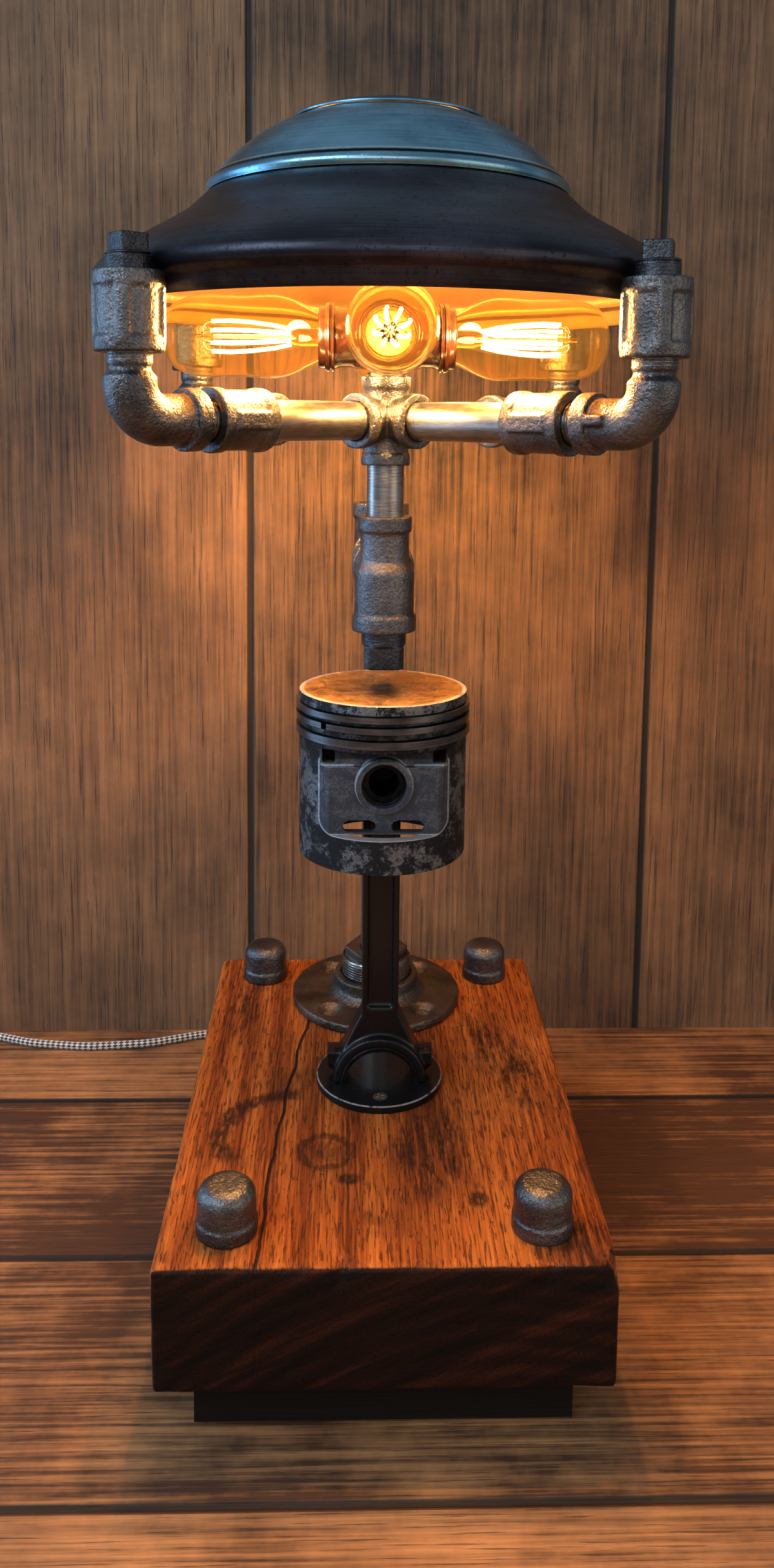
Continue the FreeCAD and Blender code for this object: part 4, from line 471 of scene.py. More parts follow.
# The crown's golden brown is partly baked carbon and partly painted warm bulb light.
baked = alloy.ramp(alloy.noise(120, 5, 0.7, warp=0.6) * 0.75 + fine * 0.25,
                   (0.30, (0.11, 0.055, 0.020)), (0.50, (0.42, 0.23, 0.075)),
                   (0.70, (0.66, 0.42, 0.17)))
from_middle = (x * x + y * y).power(0.5)
from_mark = (x * x + (y + 0.010) * (y + 0.010) * 0.25).power(0.5)
mark = (from_mark + (mottle - 0.5) * 0.02).below(0.004, 0.012)
baked = alloy.mixed(mark * 0.85, baked, (0.035, 0.020, 0.012))
baked = alloy.mixed(from_middle.between(0.0455, 0.0470), baked, (0.62, 0.60, 0.57))
alloy.feed("Base Color", alloy.mixed(z.between(CROWN_Z - 0.0004, CROWN_Z - 0.0001), dirty, baked))
alloy.feed("Roughness", 0.34 + grime * 0.3 + fine * 0.1)
alloy.bumped(fine * 0.5 + grime * 0.5 + mottle * 0.3 - drops * 0.4, 0.00035)

# %% [markdown]
# The shade is spun steel. Its dome still shines bluish silver with fine turned
# lines; its top cap is dark and speckled; the skirt has gone nearly black. Lines
# that follow the turning come from noise read round the axis. Near the lip the dome
# carries a painted shade in its groove and a painted highlight line. The inside is
# paler, partly bare steel that no one has oiled and partly painted warm glow of the
# bulbs' light.


# %% Shade steel
def shade_finish(name, stops, line_share, speck_share, roughness, metallic=1.0, painted_light_lines=()):
    """Spun steel, with painted lines of shade and highlight given as (radius, half width, colour).
    """
    finish = Finish(name, Metallic=metallic)
    x, y, z = finish.split()
    radius = (x * x + y * y).power(0.5)
    turn = finish.math("ARCTAN2", y, x)
    lines = finish.noise(1.0, 4, 0.65, finish.joined(radius * 900, turn * 1.6, z * 900))
    broad = finish.noise(1.0, 4, 0.6, finish.joined(radius * 60, turn * 2.2, z * 60))
    cloud = finish.noise(24, 4, 0.6)
    specks = finish.noise(430, 4, 0.7).between(0.56, 0.66)
    colour = finish.ramp(cloud * 0.5 + lines * line_share + broad * 0.35, *stops)
    colour = finish.mixed(specks * speck_share, colour, stops[0][1])
    for middle, half, shade in painted_light_lines:
        colour = finish.mixed((radius - middle).near(half * 0.5, half), colour, shade)
    normal = finish.split(finish.node("ShaderNodeNewGeometry", {}, (), "Normal"))
    outward = (normal[0] * x + normal[1] * y) / (radius + 0.0001)
    # Faces that look inward are painted warm orange: partly paler bare steel, partly painted bulb
    # glow.
    inner = (outward + normal[2] * 0.8).below(-0.35, -0.10)
    warm = finish.mixed(cloud, (0.26, 0.145, 0.060), (0.46, 0.28, 0.125))
    finish.feed("Base Color", finish.mixed(inner, colour, warm))
    finish.feed("Roughness", roughness + cloud * 0.16 + specks * 0.12 - 0.08)
    finish.bumped(lines * 0.6 + specks * 0.4, 0.00009)
    return finish.material


# Near the lip a painted shade lies in the groove, and inside it a painted highlight line.
dome_steel = shade_finish(
    "dome_steel", ((0.25, (0.030, 0.085, 0.150)), (0.52, (0.090, 0.240, 0.360)),
                   (0.80, (0.30, 0.56, 0.70))), 0.50, 0.35, 0.30,
    painted_light_lines=((0.0983, 0.0009, (0.010, 0.014, 0.020)), (0.0968, 0.0006, (0.60, 0.72, 0.80))))
cap_steel = shade_finish(
    "cap_steel", ((0.25, (0.012, 0.022, 0.036)), (0.55, (0.045, 0.085, 0.125)),
                  (0.85, (0.18, 0.28, 0.36))), 0.35, 0.85, 0.42)
skirt_steel = shade_finish(
    "skirt_steel", ((0.25, (0.008, 0.009, 0.014)), (0.55, (0.024, 0.025, 0.036)),
                    (0.85, (0.10, 0.10, 0.135))), 0.3, 0.75, 0.34, 0.85)
print("shade finishes", dome_steel.name, cap_steel.name, skirt_steel.name)

# %% [markdown]
# The bulbs have clear amber glass, lit from inside by bright filaments. The glass
# glows only faintly itself, so the filaments and the supports stay visible.

# %% Bulb glass and filaments
amber = Finish("amber_glass", Roughness=0.03, IOR=1.12, Transmission_Weight=1.0,
               Emission_Strength=0.06)
haze = amber.noise(60, 3)
amber.feed("Base Color", amber.mixed(haze, (1.0, 0.78, 0.46), (1.0, 0.88, 0.62)))
amber.shader.inputs["Emission Color"].default_value = (1.0, 0.42, 0.07, 1)
clear = Finish("stem_glass", Roughness=0.05, Transmission_Weight=1.0, IOR=1.3)
clear.feed("Base Color", clear.mixed(clear.noise(90, 2), (1.0, 0.80, 0.50), (1.0, 0.92, 0.72)))
glow = Finish("filament", Emission_Strength=55.0)
hot = glow.noise(140, 2)
glow.feed("Base Color", glow.mixed(hot, (1.0, 0.72, 0.35), (1.0, 0.88, 0.55)))
glow.feed("Emission Color", glow.mixed(hot, (1.0, 0.62, 0.22), (1.0, 0.78, 0.40)))

# %% [markdown]
# The cord is black and white cotton braid. Each strand crosses the others at a
# slant, so two sets of stripes that run opposite ways round it make the diamonds.
# The stripes are read along and round the cord, so they bend with it.

# %% Braided cotton
SLANTS_ALONG = 1900
SLANTS_ROUND = 4
braid = Finish("braided_cotton", Roughness=0.85, Sheen_Weight=0.3)
along, around, _ = braid.split(braid.node("ShaderNodeTexCoord", {}, (), "UV"))
lean_by = around * math.tau * SLANTS_ROUND
one_way = (along * SLANTS_ALONG + lean_by).sine()
other_way = (along * SLANTS_ALONG - lean_by).sine()
checks = (one_way * other_way).between(-0.15, 0.15)
braid.feed("Base Color", braid.mixed(checks, (0.03, 0.03, 0.032), (0.62, 0.60, 0.56)))
strands = (along * SLANTS_ALONG * 4 + lean_by * 2).sine()
braid.bumped(strands * 0.3 + (one_way + other_way) * 0.4, 0.0004)
print("braid nodes", len(braid.tree.nodes))

# %% [markdown]
# Each CAD solid gets its finish by name. Pieces that are replaced further on by a
# rounder copy keep the same finish there.

# %% Finish of every node
GROUPS = [
    (iron, "corner_caps rear_tee reducing_tee cross arm_couplings post_couplings"),
    (bronze_iron, "rear_flange hex_bushing"),
    (dark_iron, "rear_tee_plug drop_plug post_plugs"),
    (pipe_steel, "riser_pipe link_nipple stem_nipple arm_pipes"),
    (thread_steel, "close_nipples"),
    (screw_zinc, "base_screws"),
    (brass, "brass_adapter socket_liners"),
    (ring_iron, "piston_top_ring piston_second_ring piston_oil_ring"),
    (pin_black, "gudgeon_pin circlips"),
    (rod_black.material, "con_rod foot_flange"),
    (alloy.material, "piston"),
    (wood.material, "base_block"),
    (plinth_finish_and_shade.material, "base_plinth"),
    (felt.material, "foot_pads"),
    (pine.material, "cap_dowels"),
    (bakelite.material, "holder_body holder_rings"),
    (black_trim.material, "lock_ring cord_gland cord_plug lead_wire"),
    (braid.material, "cord_run cord_coil cord_tail"),
    (cap_steel, "shade_cap"),
    (dome_steel, "shade_dome"),
    (skirt_steel, "shade_skirt"),
]
FINISHES = {name: finish for finish, names in GROUPS for name in names.split()}
KINDS = {"street_elbow": iron, "bulb_glass": amber.material, "bulb_cap": brass,
         "bulb_stem": clear.material}
for name, piece in nodes.items():
    for kind, finish in KINDS.items():
        if name.startswith(kind):
            FINISHES[name] = finish
    piece.data.materials.clear()
    piece.data.materials.append(FINISHES[name])
print("finishes on", len(FINISHES), "nodes")

# %% [markdown]
# Every new piece rides on the body that it belongs to and names its material, so
# that it moves with its joint and takes the physics of what it is made of. Round
# pieces share one recipe: a row of places is joined into an outline, and the
# outline is spun round an axis.


# %% Helpers that make a piece
def added(name, data):
    """A new object in the scene."""
    made = bpy.data.objects.new(name, data)
    bpy.context.scene.collection.objects.link(made)
    return made


def mesh_of(name, shape):
    """A finished bmesh as a mesh."""
    mesh = bpy.data.meshes.new(name)
    shape.to_mesh(mesh)
    shape.free()
    return mesh


def grow(shape, extra):
    """Add a second bmesh to the first one."""
    mesh = mesh_of("extra", extra)
    shape.from_mesh(mesh)
    bpy.data.meshes.remove(mesh)


def seated(piece, body):
    """Tie a piece to the body that it rides on."""
    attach(piece, body)
    return piece


def shade(piece, smooth):
    for face in piece.data.polygons:
        face.use_smooth = smooth


def piece_from(name, shape, material, body, smooth=True):
    """A finished bmesh as an object that rides on a body."""
    piece = added(name, mesh_of(name, shape))
    shade(piece, smooth)
    piece.data.materials.append(material)
    return seated(piece, body)


def piece_like(node, name, shape, smooth=True):
    """A piece with the finish and the body of a CAD node."""
    return piece_from(name, shape, FINISHES[node], BODY_OF[node], smooth)


def rounded(shape, reach, segments=2):
    """Round every edge of a bmesh."""
    bmesh.ops.bevel(shape, geom=shape.edges, offset=reach, segments=segments, profile=0.5,
                    affect="EDGES", material=-1)


def moved(shape, place, turn=0.0):
    """Turn a bmesh round Z and set it at a place."""
    shape.transform(Matrix.Translation(place) @ Matrix.Rotation(turn, 4, "Z"))
    return shape


def outline(shape, places, closed):
    """Edges through a row of places, with their corners, ready for a spin."""
    corners = [shape.verts.new(place) for place in places]
    pairs = list(zip(corners, corners[1:]))
    if closed:
        pairs.append((corners[-1], corners[0]))
    return [*corners, *(shape.edges.new(pair) for pair in pairs)]


def spun(places, closed, steps, axis=(0, 0, 1), angle=math.tau, **more):
    """The outline through the places, spun round an axis."""
    shape = bmesh.new()
    bmesh.ops.spin(shape, geom=outline(shape, places, closed), cent=(0, 0, 0), axis=axis,
                   angle=angle, steps=steps, use_duplicate=False, **more)
    bmesh.ops.remove_doubles(shape, verts=shape.verts, dist=1e-6)
    bmesh.ops.recalc_face_normals(shape, faces=shape.faces)
    return shape


def merged_copy(node):
    """A CAD node's mesh with its loose triangles sewn together."""
    shape = bmesh.new()
    shape.from_mesh(nodes[node].data)
    bmesh.ops.remove_doubles(shape, verts=shape.verts, dist=2e-6)
    return shape


def apply_modifiers(piece):
    """Bake the modifiers of a piece into its mesh."""
    graph = bpy.context.evaluated_depsgraph_get()
    baked = bpy.data.meshes.new_from_object(piece.evaluated_get(graph))
    piece.modifiers.clear()
    piece.data = baked


# %% [markdown]
# A sand casting has no sharp edge. The CAD solid is copied, sewn, turned into small
# even voxels and smoothed a little, which rounds every edge and fills the inner
# corners as molten iron does. Ribs and lugs are added before that, so they grow out
# of the casting.


# %% Castings
def cast(node, voxel=0.0009, passes=3, extras=()):
    """A CAD node as a rounded casting, grown together with the extras."""
    shape = merged_copy(node)
    for extra in extras:
        grow(shape, extra)
    piece = piece_like(node, f"{node}_cast", shape)
    remesh = piece.modifiers.new("sand", "REMESH")
    remesh.mode = "VOXEL"
    remesh.voxel_size = voxel
    remesh.use_smooth_shade = True
    smooth = piece.modifiers.new("skin", "SMOOTH")
    smooth.factor = 0.5
    smooth.iterations = passes
    apply_modifiers(piece)
    shade(piece, True)
    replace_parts(piece, node)
    return piece


def bar(size, middle, turn=0.0, ease=0.3):
    """A rounded bar, used for ribs and lugs."""
    shape = bmesh.new()
    bmesh.ops.create_cube(shape, size=1)
    bmesh.ops.scale(shape, vec=size, verts=shape.verts)
    rounded(shape, min(size) * ease)
    return moved(shape, middle, turn)


# %% [markdown]
# Couplings have broad ribs along them, so that a wrench grips, and elbows have a
# small lug. Ribs lie at a regular angle round each axis.

# %% Fittings of the four arms
BASE_TOP = 0.094
ARM_Z = BASE_TOP + 0.398
POST_REACH = 0.173
UP = Vector((0, 0, 1))
ARM_TURNS = {name: math.radians(45 + 90 * number) for number, name in
             enumerate(("rear_right", "rear_left", "front_left", "front_right"))}
RIB_SIZE, RIB_REACH, RIB_RISE = (0.0026, 0.0060, 0.030), 0.0156, 0.0495
PANEL_SIZE, PANEL_ALONG, PANEL_REACH = (0.022, 0.0028, 0.0090), 0.1105, 0.0157
LUG_SIZE, LUG_ALONG, LUG_REACH, LUG_RISE = (0.013, 0.0034, 0.0055), 0.1475, 0.0135, 0.002


def outward(turn):
    return Vector((math.cos(turn), math.sin(turn), 0))


def on_arm(turn, along, beside=0.0, rise=0.0):
    """A place along an arm, beside it and above it."""
    return (outward(turn) * along + outward(turn + math.pi / 2) * beside
            + UP * (ARM_Z + rise))


ribs, panels = [], []
for turn in ARM_TURNS.values():
    for side in range(4):
        lean = turn + math.radians(45 + 90 * side)
        place = on_arm(turn, POST_REACH, rise=RIB_RISE) + outward(lean) * RIB_REACH
        ribs.append(bar(RIB_SIZE, place, lean))
    for side in (-1, 1):
        panels.append(bar(PANEL_SIZE, on_arm(turn, PANEL_ALONG, PANEL_REACH * side), turn, 0.2))
cast("post_couplings", extras=ribs)
cast("arm_couplings", extras=panels)
for name, turn in ARM_TURNS.items():
    lug = bar(LUG_SIZE, on_arm(turn, LUG_ALONG, -LUG_REACH, LUG_RISE), turn)
    cast(f"street_elbow_{name}", extras=[lug])
for node in ("cross", "reducing_tee", "rear_tee"):
    cast(node)

# %% [markdown]
# The caps on the block's corners are the same castings, upside down. The flange is
# a thick casting with a hub. Plugs have square heads that are only roughly dressed.

# %% Caps, flange, bushing and plugs
cast("corner_caps", 0.0008)
cast("rear_flange", 0.0011)
cast("hex_bushing", 0.0008, 2)
cast("post_plugs", 0.0007, 2)
cast("drop_plug", 0.0007, 2)

# %% [markdown]
# Pipe threads are cut with a pitch of 1.8 mm. A small saw-tooth profile is spun
# round the pipe while it climbs, so it makes a true screw thread. The profile is one
# pitch long: each turn of the spin ends where the next one starts.

# %% Screw threads
PITCH = 0.00181
STEPS_ROUND = 40
HALF_INCH = 0.01074
WIDE = 0.01342
TEE_Z = BASE_TOP + 0.3108
REAR = Vector((0, 0.106, 0))
ARM_THREADS = ((0.127, 0.0085), (0.024, 0.0065), (0.0885, 0.0055))


def screw_thread(name, radius, length, place, way=UP, material=thread_steel, depth=0.0009):
    """A threaded stretch that starts at a place and runs one way."""
    turns = max(2, round(length / PITCH))
    profile = ((radius - depth, 0), (radius, PITCH * 0.42), (radius, PITCH * 0.56),
               (radius - depth, PITCH))
    shape = spun([(reach, 0, climb) for reach, climb in profile], False, STEPS_ROUND * turns,
                 angle=math.tau * turns, dvec=(0, 0, length / turns / STEPS_ROUND))
    outer = max(shape.faces, key=lambda face: math.hypot(*face.calc_center_median()[:2]))
    if outer.normal.dot(outer.calc_center_median() * Vector((1, 1, 0))) < 0:
        bmesh.ops.reverse_faces(shape, faces=shape.faces)
    aim = UP.rotation_difference(Vector(way)).to_matrix().to_4x4()
    shape.transform(Matrix.Translation(place) @ aim)
    return piece_from(name, shape, material, "base")


for number, turn in enumerate(ARM_TURNS.values()):
    screw_thread(f"plug_thread_{number}", HALF_INCH, 0.0085,
                 on_arm(turn, POST_REACH, rise=0.0665), UP, thread_dark)
    screw_thread(f"elbow_thread_{number}", HALF_INCH, 0.0065,
                 on_arm(turn, POST_REACH, rise=0.0255))
    for start, length in ARM_THREADS:
        screw_thread(f"arm_thread_{number}_{round(start * 1e4)}", HALF_INCH, length,
                     on_arm(turn, start), outward(turn))
COLUMN_THREADS = [
    ("stem_thread_low", HALF_INCH, 0.0085, UP * (TEE_Z + 0.0325)),
    ("stem_thread_high", HALF_INCH, 0.0125, UP * (ARM_Z - 0.037)),
    ("drop_thread", 0.01302, 0.0092, UP * (TEE_Z - 0.0420), UP, thread_dark),
    ("bushing_thread", 0.0235, 0.0120, REAR + UP * (BASE_TOP + 0.0183)),
    ("riser_thread_low", HALF_INCH, 0.009, REAR + UP * (BASE_TOP + 0.036)),
    ("riser_thread_high", HALF_INCH, 0.009, REAR + UP * (TEE_Z - 0.0415)),
    ("link_thread_front", WIDE, 0.008, (0, 0.0325, TEE_Z), (0, 1, 0)),
    ("link_thread_rear", WIDE, 0.008, (0, 0.0655, TEE_Z), (0, 1, 0)),
]
for row in COLUMN_THREADS:
    screw_thread(*row)
print("threads", (2 + len(ARM_THREADS)) * len(ARM_TURNS) + len(COLUMN_THREADS))

# %% [markdown]
# Machined parts keep flat faces and crisp but not razor edges. Their CAD copies are
# sewn, their coplanar triangles joined, and their sharp edges bevelled.


# %% Rounded edges on sharp solids
def eased(node, width, angle=35):
    """A CAD node with its sharp edges rounded; it stands for the node."""
    shape = merged_copy(node)
    bmesh.ops.dissolve_limit(shape, angle_limit=math.radians(0.5), use_dissolve_boundaries=False,
                             verts=shape.verts, edges=shape.edges, delimit=set())
    piece = piece_like(node, f"{node}_eased", shape)
    bevel = piece.modifiers.new("edge", "BEVEL")
    bevel.width = width
    bevel.segments = 2
    bevel.limit_method = "ANGLE"
    bevel.angle_limit = math.radians(angle)
    bevel.use_clamp_overlap = False
    flat = piece.modifiers.new("flat", "WEIGHTED_NORMAL")
    flat.keep_sharp = True
    apply_modifiers(piece)
    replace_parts(piece, node)
    return piece


eased("foot_flange", 0.0006)
eased("piston", 0.0006, 30)

# %% [markdown]
# The rod is a forging: its edges are round and its big end grows out of the shank
# in one sweep, with a bolt boss at both sides. Half a bearing shell lies in the
# arch, and its polished rim stands a little proud at the front.

# %% Rod and bearing shell
ARCH_CENTRE_Z = BASE_TOP + 0.0046
BOSS_REACH, BOSS_RISE = 0.0268, 0.0150
bosses = []
for side in (-1, 1):
    boss = bmesh.new()
    bmesh.ops.create_cone(boss, cap_ends=True, segments=28, radius1=0.0046, radius2=0.0043,
                          depth=0.014)
    rounded(boss, 0.0010, 3)
    bosses.append(moved(boss, (side * BOSS_REACH, 0, BASE_TOP + BOSS_RISE)))
cast("con_rod", 0.0009, 4, extras=bosses)

BEARING_SECTION = ((0.0209, -0.0146), (0.0228, -0.0146), (0.0233, -0.0141), (0.0233, 0.0141),
                   (0.0228, 0.0146), (0.0209, 0.0146))
bearing = spun([(reach, along, 0) for reach, along in BEARING_SECTION], True, 56, (0, -1, 0),
               math.pi)
open_edges = [edge for edge in bearing.edges if edge.is_boundary]
bmesh.ops.holes_fill(bearing, edges=open_edges, sides=0)
bmesh.ops.recalc_face_normals(bearing, faces=bearing.faces)
bearing_piece = piece_from("bearing_shell", moved(bearing, (0, 0, ARCH_CENTRE_Z - 0.0002)),
                           pin_black, BODY_OF["con_rod"])
bearing_piece.data.set_sharp_from_angle(angle=math.radians(35))
print("bosses", len(bosses), "bearing faces", len(bearing_piece.data.polygons))

# %% [markdown]
# Cross-head screws: a dished head with two crossing slots. The slots are cut with a
# Boolean, which is quicker than drawing them and leaves sharp walls.


# %% Screws
CORNERS = ((-1, -1), (1, -1), (-1, 1), (1, 1))
HEAD_DEPTH = 0.0028
FLANGE_HOLE = 0.0435 * math.cos(math.radians(45))
FOOT_HOLE = 0.027


def cross_screw(name, radius, place, turn):
    """A dished head with two crossing slots."""
    head = bmesh.new()
    bmesh.ops.create_cone(head, cap_ends=True, segments=36, radius1=radius * 0.55,
                          radius2=radius, depth=HEAD_DEPTH,
                          matrix=Matrix.Translation((0, 0, -HEAD_DEPTH / 2)))
    piece = piece_from(name, head, screw_zinc, "base", smooth=False)
    slots = bmesh.new()
    for quarter in (0, 1):
        bmesh.ops.create_cube(slots, size=1, matrix=Matrix.Rotation(quarter * math.pi / 2, 4, "Z")
                              @ Matrix.Diagonal((radius * 1.15, radius * 0.22, 0.0024, 1)))
    cutter = added("slots", mesh_of("slots", slots))
    cut = piece.modifiers.new("slots", "BOOLEAN")
    cut.object = cutter
    cut.solver = "EXACT"
    cut.use_self = True
    edge = piece.modifiers.new("edge", "BEVEL")
    edge.width = 0.00025
    edge.segments = 2
    bpy.context.view_layer.update()
    apply_modifiers(piece)
    bpy.data.objects.remove(cutter)
    piece.data.transform(Matrix.Translation(place) @ Matrix.Rotation(turn, 4, "Z"))
    return piece


flange_screws = [
    cross_screw(f"flange_screw_{number}", 0.0048,
                REAR + Vector((sx * FLANGE_HOLE, sy * FLANGE_HOLE, BASE_TOP + 0.0030)),
                0.3 + number)
    for number, (sx, sy) in enumerate(CORNERS)]
for number, side in enumerate((-1, 1)):
    cross_screw(f"foot_screw_{number}", 0.0046, (0, side * FOOT_HOLE, BASE_TOP + 0.0046),
                0.5 + number)
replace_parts(flange_screws[0], "base_screws")

# %% [markdown]
# Each bulb screws into a lampholder whose ring has ridges for the fingers. A ridged
# profile is spun once round the bulb's axis.

# %% Ridged holder rings
BULB_Z = BASE_TOP + 0.4445
SEATS = {side: Matrix.Translation(UP * BULB_Z) @ Matrix.Rotation(math.radians(degrees), 4, "Z")
         for side, degrees in (("right", 0), ("rear", 90), ("left", 180), ("front", 270))}
RIDGED = [(0.0292, 0.0160), (0.0292, 0.0188), (0.0297, 0.0195), (0.0307, 0.0195),
          (0.0312, 0.0186), (0.0316, 0.0186), (0.0321, 0.0195), (0.0335, 0.0195),
          (0.0341, 0.0188), (0.0346, 0.0188), (0.0346, 0.0160)]
ridged = bmesh.new()
for seat in SEATS.values():
    ring = spun([(along, 0, reach) for along, reach in RIDGED], True, 64, (1, 0, 0),
                use_merge=True)
    ring.transform(seat)
    grow(ridged, ring)
holder_rings = piece_like("holder_rings", "holder_rings_ridged", ridged)
holder_rings.data.set_sharp_from_angle(angle=math.radians(50))
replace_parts(holder_rings, "holder_rings")
cast("holder_body", 0.0008)

# %% [markdown]
# Old-style bulbs hold straight filaments between two rings of fine hooks, so that
# lit they look like a glowing cage. The cage swells a little in the middle, and the
# supports at its outer end are thin bent wires.


# %% Filament cages
def swept(name, rows, radius, material, smooth=False):
    """A round section along each row of places, straight or smooth between them."""
    curve = bpy.data.curves.new(name, "CURVE")
    curve.dimensions = "3D"
    curve.bevel_depth = radius
    curve.bevel_resolution = 4 if smooth else 1
    curve.resolution_u = 6
    curve.use_fill_caps = True
    for places in rows:
        strand = curve.splines.new("NURBS" if smooth else "POLY")
        strand.points.add(len(places) - 1)
        for point, place in zip(strand.points, places):
            point.co = (*place, 1)
        if smooth:
            strand.order_u = 3
            strand.use_endpoint_u = True
    curve.materials.append(material)
    return added(name, curve)


def meshed(drawn, name, body):
    """A drawn curve as a mesh piece that rides on a body."""
    mesh = bpy.data.meshes.new_from_object(drawn)
    bpy.data.objects.remove(drawn)
    return seated(added(name, mesh), body)


def leaning(places, lean):
    """Places beside the bulb's axis, turned round it."""
    return [(along, reach * math.cos(lean), reach * math.sin(lean)) for along, reach in places]


STRANDS = 8
LEANS = [math.tau * number / STRANDS + 0.3 for number in range(STRANDS)]
SWELL = ((0.054, 0.0046), (0.063, 0.0068), (0.076, 0.0086), (0.088, 0.0094), (0.098, 0.0090))
HOOK = ((0.098, 0.0090), (0.1015, 0.0080), (0.1035, 0.0050), (0.1030, 0.0020))
MAST = [(0.050, 0, 0), (0.1030, 0, 0), (0.1045, 0, 0)]
CAGE = (("filament", [leaning(SWELL, lean) for lean in LEANS], 0.00110, glow.material),
        ("supports", [leaning(HOOK, lean) for lean in LEANS] + [MAST], 0.00030, screw_zinc))
for side, seat in SEATS.items():
    for kind, rows, radius, material in CAGE:
        name = f"{kind}_{side}"
        piece = meshed(swept(name, rows, radius, material), name, f"bulb_{side}")
        piece.data.transform(seat)
print("cages", len(SEATS), "of", STRANDS, "strands")

# %% [markdown]
# Blown glass and spun steel have one smooth outline, so both are made the same way:
# a smooth curve through a few measured places, the same curve again one wall
# further in, and the pair spun round the axis.


# %% Shells of revolution
def smooth_places(places, level_start, steps=8):
    """A smooth curve through the places; level where it starts on the axis."""
    ghost = (-places[1][0], places[1][1]) if level_start else places[0]
    row = [Vector(place) for place in (ghost, *places, places[-1])]
    curve = []
    for before, here, after, beyond in zip(row, row[1:], row[2:], row[3:]):
        for step in range(steps):
            t = step / steps
            curve.append(0.5 * (2 * here + (after - before) * t
                                + (2 * before - 5 * here + 4 * after - beyond) * t * t
                                + (3 * here - before - 3 * after + beyond) * t ** 3))
    return curve + [row[-1]]


def spun_shell(places, wall, closed_top):
    """A wall of revolution round Z; the places run outward and down its outside."""
    outer = smooth_places(places, closed_top)
    inner = []
    for index, place in enumerate(outer):
        ahead = outer[min(index + 1, len(outer) - 1)] - outer[max(index - 1, 0)]
        ahead.normalize()
        inner.append(place + Vector((ahead[1], -ahead[0])) * wall)
    if closed_top:
        outer[0][0] = inner[0][0] = 0
        inner[0][1] = outer[0][1] - wall
    return spun([(reach, 0, rise) for reach, rise in outer + inner[::-1]], not closed_top, 96,
                use_merge=True)


GLASS = [(0, 0.1260), (0.0090, 0.1246), (0.0175, 0.1195), (0.0226, 0.1060), (0.0226, 0.0820),
         (0.0226, 0.0580), (0.0130, 0.0360)]
for side, seat in SEATS.items():
    glass = spun_shell(GLASS, 0.0009, True)
    glass.transform(seat @ Matrix.Rotation(math.pi / 2, 4, "Y"))
    node = f"bulb_glass_{side}"
    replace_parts(piece_like(node, f"blown_glass_{side}", glass), node)

SHADE_WALL = 0.0012
CAP = [(0, 0.1740), (0.018, 0.1729), (0.034, 0.1700), (0.052, 0.1645)]
DOME = [(0.044, 0.1652), (0.055, 0.1612), (0.070, 0.1540), (0.085, 0.1425), (0.095, 0.1325),
        (0.1004, 0.1260), (0.0998, 0.1222)]
for node, places, closed in (("shade_cap", CAP, True), ("shade_dome", DOME, False)):
    shell = spun_shell([(reach, rise + ARM_Z) for reach, rise in places], SHADE_WALL, closed)
    piece = piece_like(node, f"{node}_spun", shell)
    piece.data.set_sharp_from_angle(angle=math.radians(50))
    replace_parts(piece, node)
print("spun shells", len(SEATS) + 2)

# %% [markdown]
# The oil slots low on the panel have round ends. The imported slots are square, so
# each corner gets a small wedge with a hollow quarter circle.

# %% Round ends of the slots
SLOT_PLACE, SLOT_WIDTH = 0.0136, 0.0185
SLOT_LOW, SLOT_HIGH = PIN_Z - 0.0272, PIN_Z - 0.0204
SLOT_ROUND = (SLOT_HIGH - SLOT_LOW) / 2
SLOT_FACE, SLOT_DEPTH = 0.0379, 0.0030
SLOT_LAP = 0.0003
ROUND_STEPS = 6
wedges = bmesh.new()
for front, side, end, level in itertools.product((-1, 1), repeat=4):
    corner_x = side * SLOT_PLACE + end * SLOT_WIDTH / 2
    corner_z = (SLOT_LOW + SLOT_HIGH) / 2 + level * SLOT_ROUND
    middle_x, middle_z = corner_x - end * SLOT_ROUND, corner_z - level * SLOT_ROUND
    lapped_x, lapped_z = corner_x + end * SLOT_LAP, corner_z + level * SLOT_LAP
    hollow = [math.pi / 2 * (1 - step / ROUND_STEPS) for step in range(ROUND_STEPS + 1)]
    rim = [(lapped_x, lapped_z), (middle_x, lapped_z),
           *((middle_x + end * SLOT_ROUND * math.cos(lean),
              middle_z + level * SLOT_ROUND * math.sin(lean)) for lean in hollow),
           (lapped_x, middle_z)]
    wedge = wedges.faces.new([wedges.verts.new((px, front * SLOT_FACE, pz)) for px, pz in rim])
    grown = bmesh.ops.extrude_face_region(wedges, geom=[wedge])["geom"]
    grown = [item for item in grown if isinstance(item, bmesh.types.BMVert)]
    bmesh.ops.translate(wedges, vec=(0, -front * SLOT_DEPTH, 0), verts=grown)
bmesh.ops.recalc_face_normals(wedges, faces=wedges.faces)
piece_like("piston", "slot_ends", wedges, False)

# %% [markdown]
# The pin is hollow, and deep in its bore there is only shade. A dark disc across its
# middle stands in for that painted shade, so the pin looks black from both ends.

# %% Dark disc for the shade in the pin
bore_shade_disc = bmesh.new()
bmesh.ops.create_cone(bore_shade_disc, cap_ends=True, segments=40, radius1=0.0084, radius2=0.0084,
                      depth=0.0012, matrix=Matrix.Translation((0, 0, PIN_Z))
                      @ Matrix.Rotation(math.pi / 2, 4, "X"))
piece_like("gudgeon_pin", "pin_web", bore_shade_disc, False)

# %% [markdown]
# The spun shade has a bead rolled into its lip and a step where the cap sits. Both
# are rings of round section: a small circle spun round the axis.

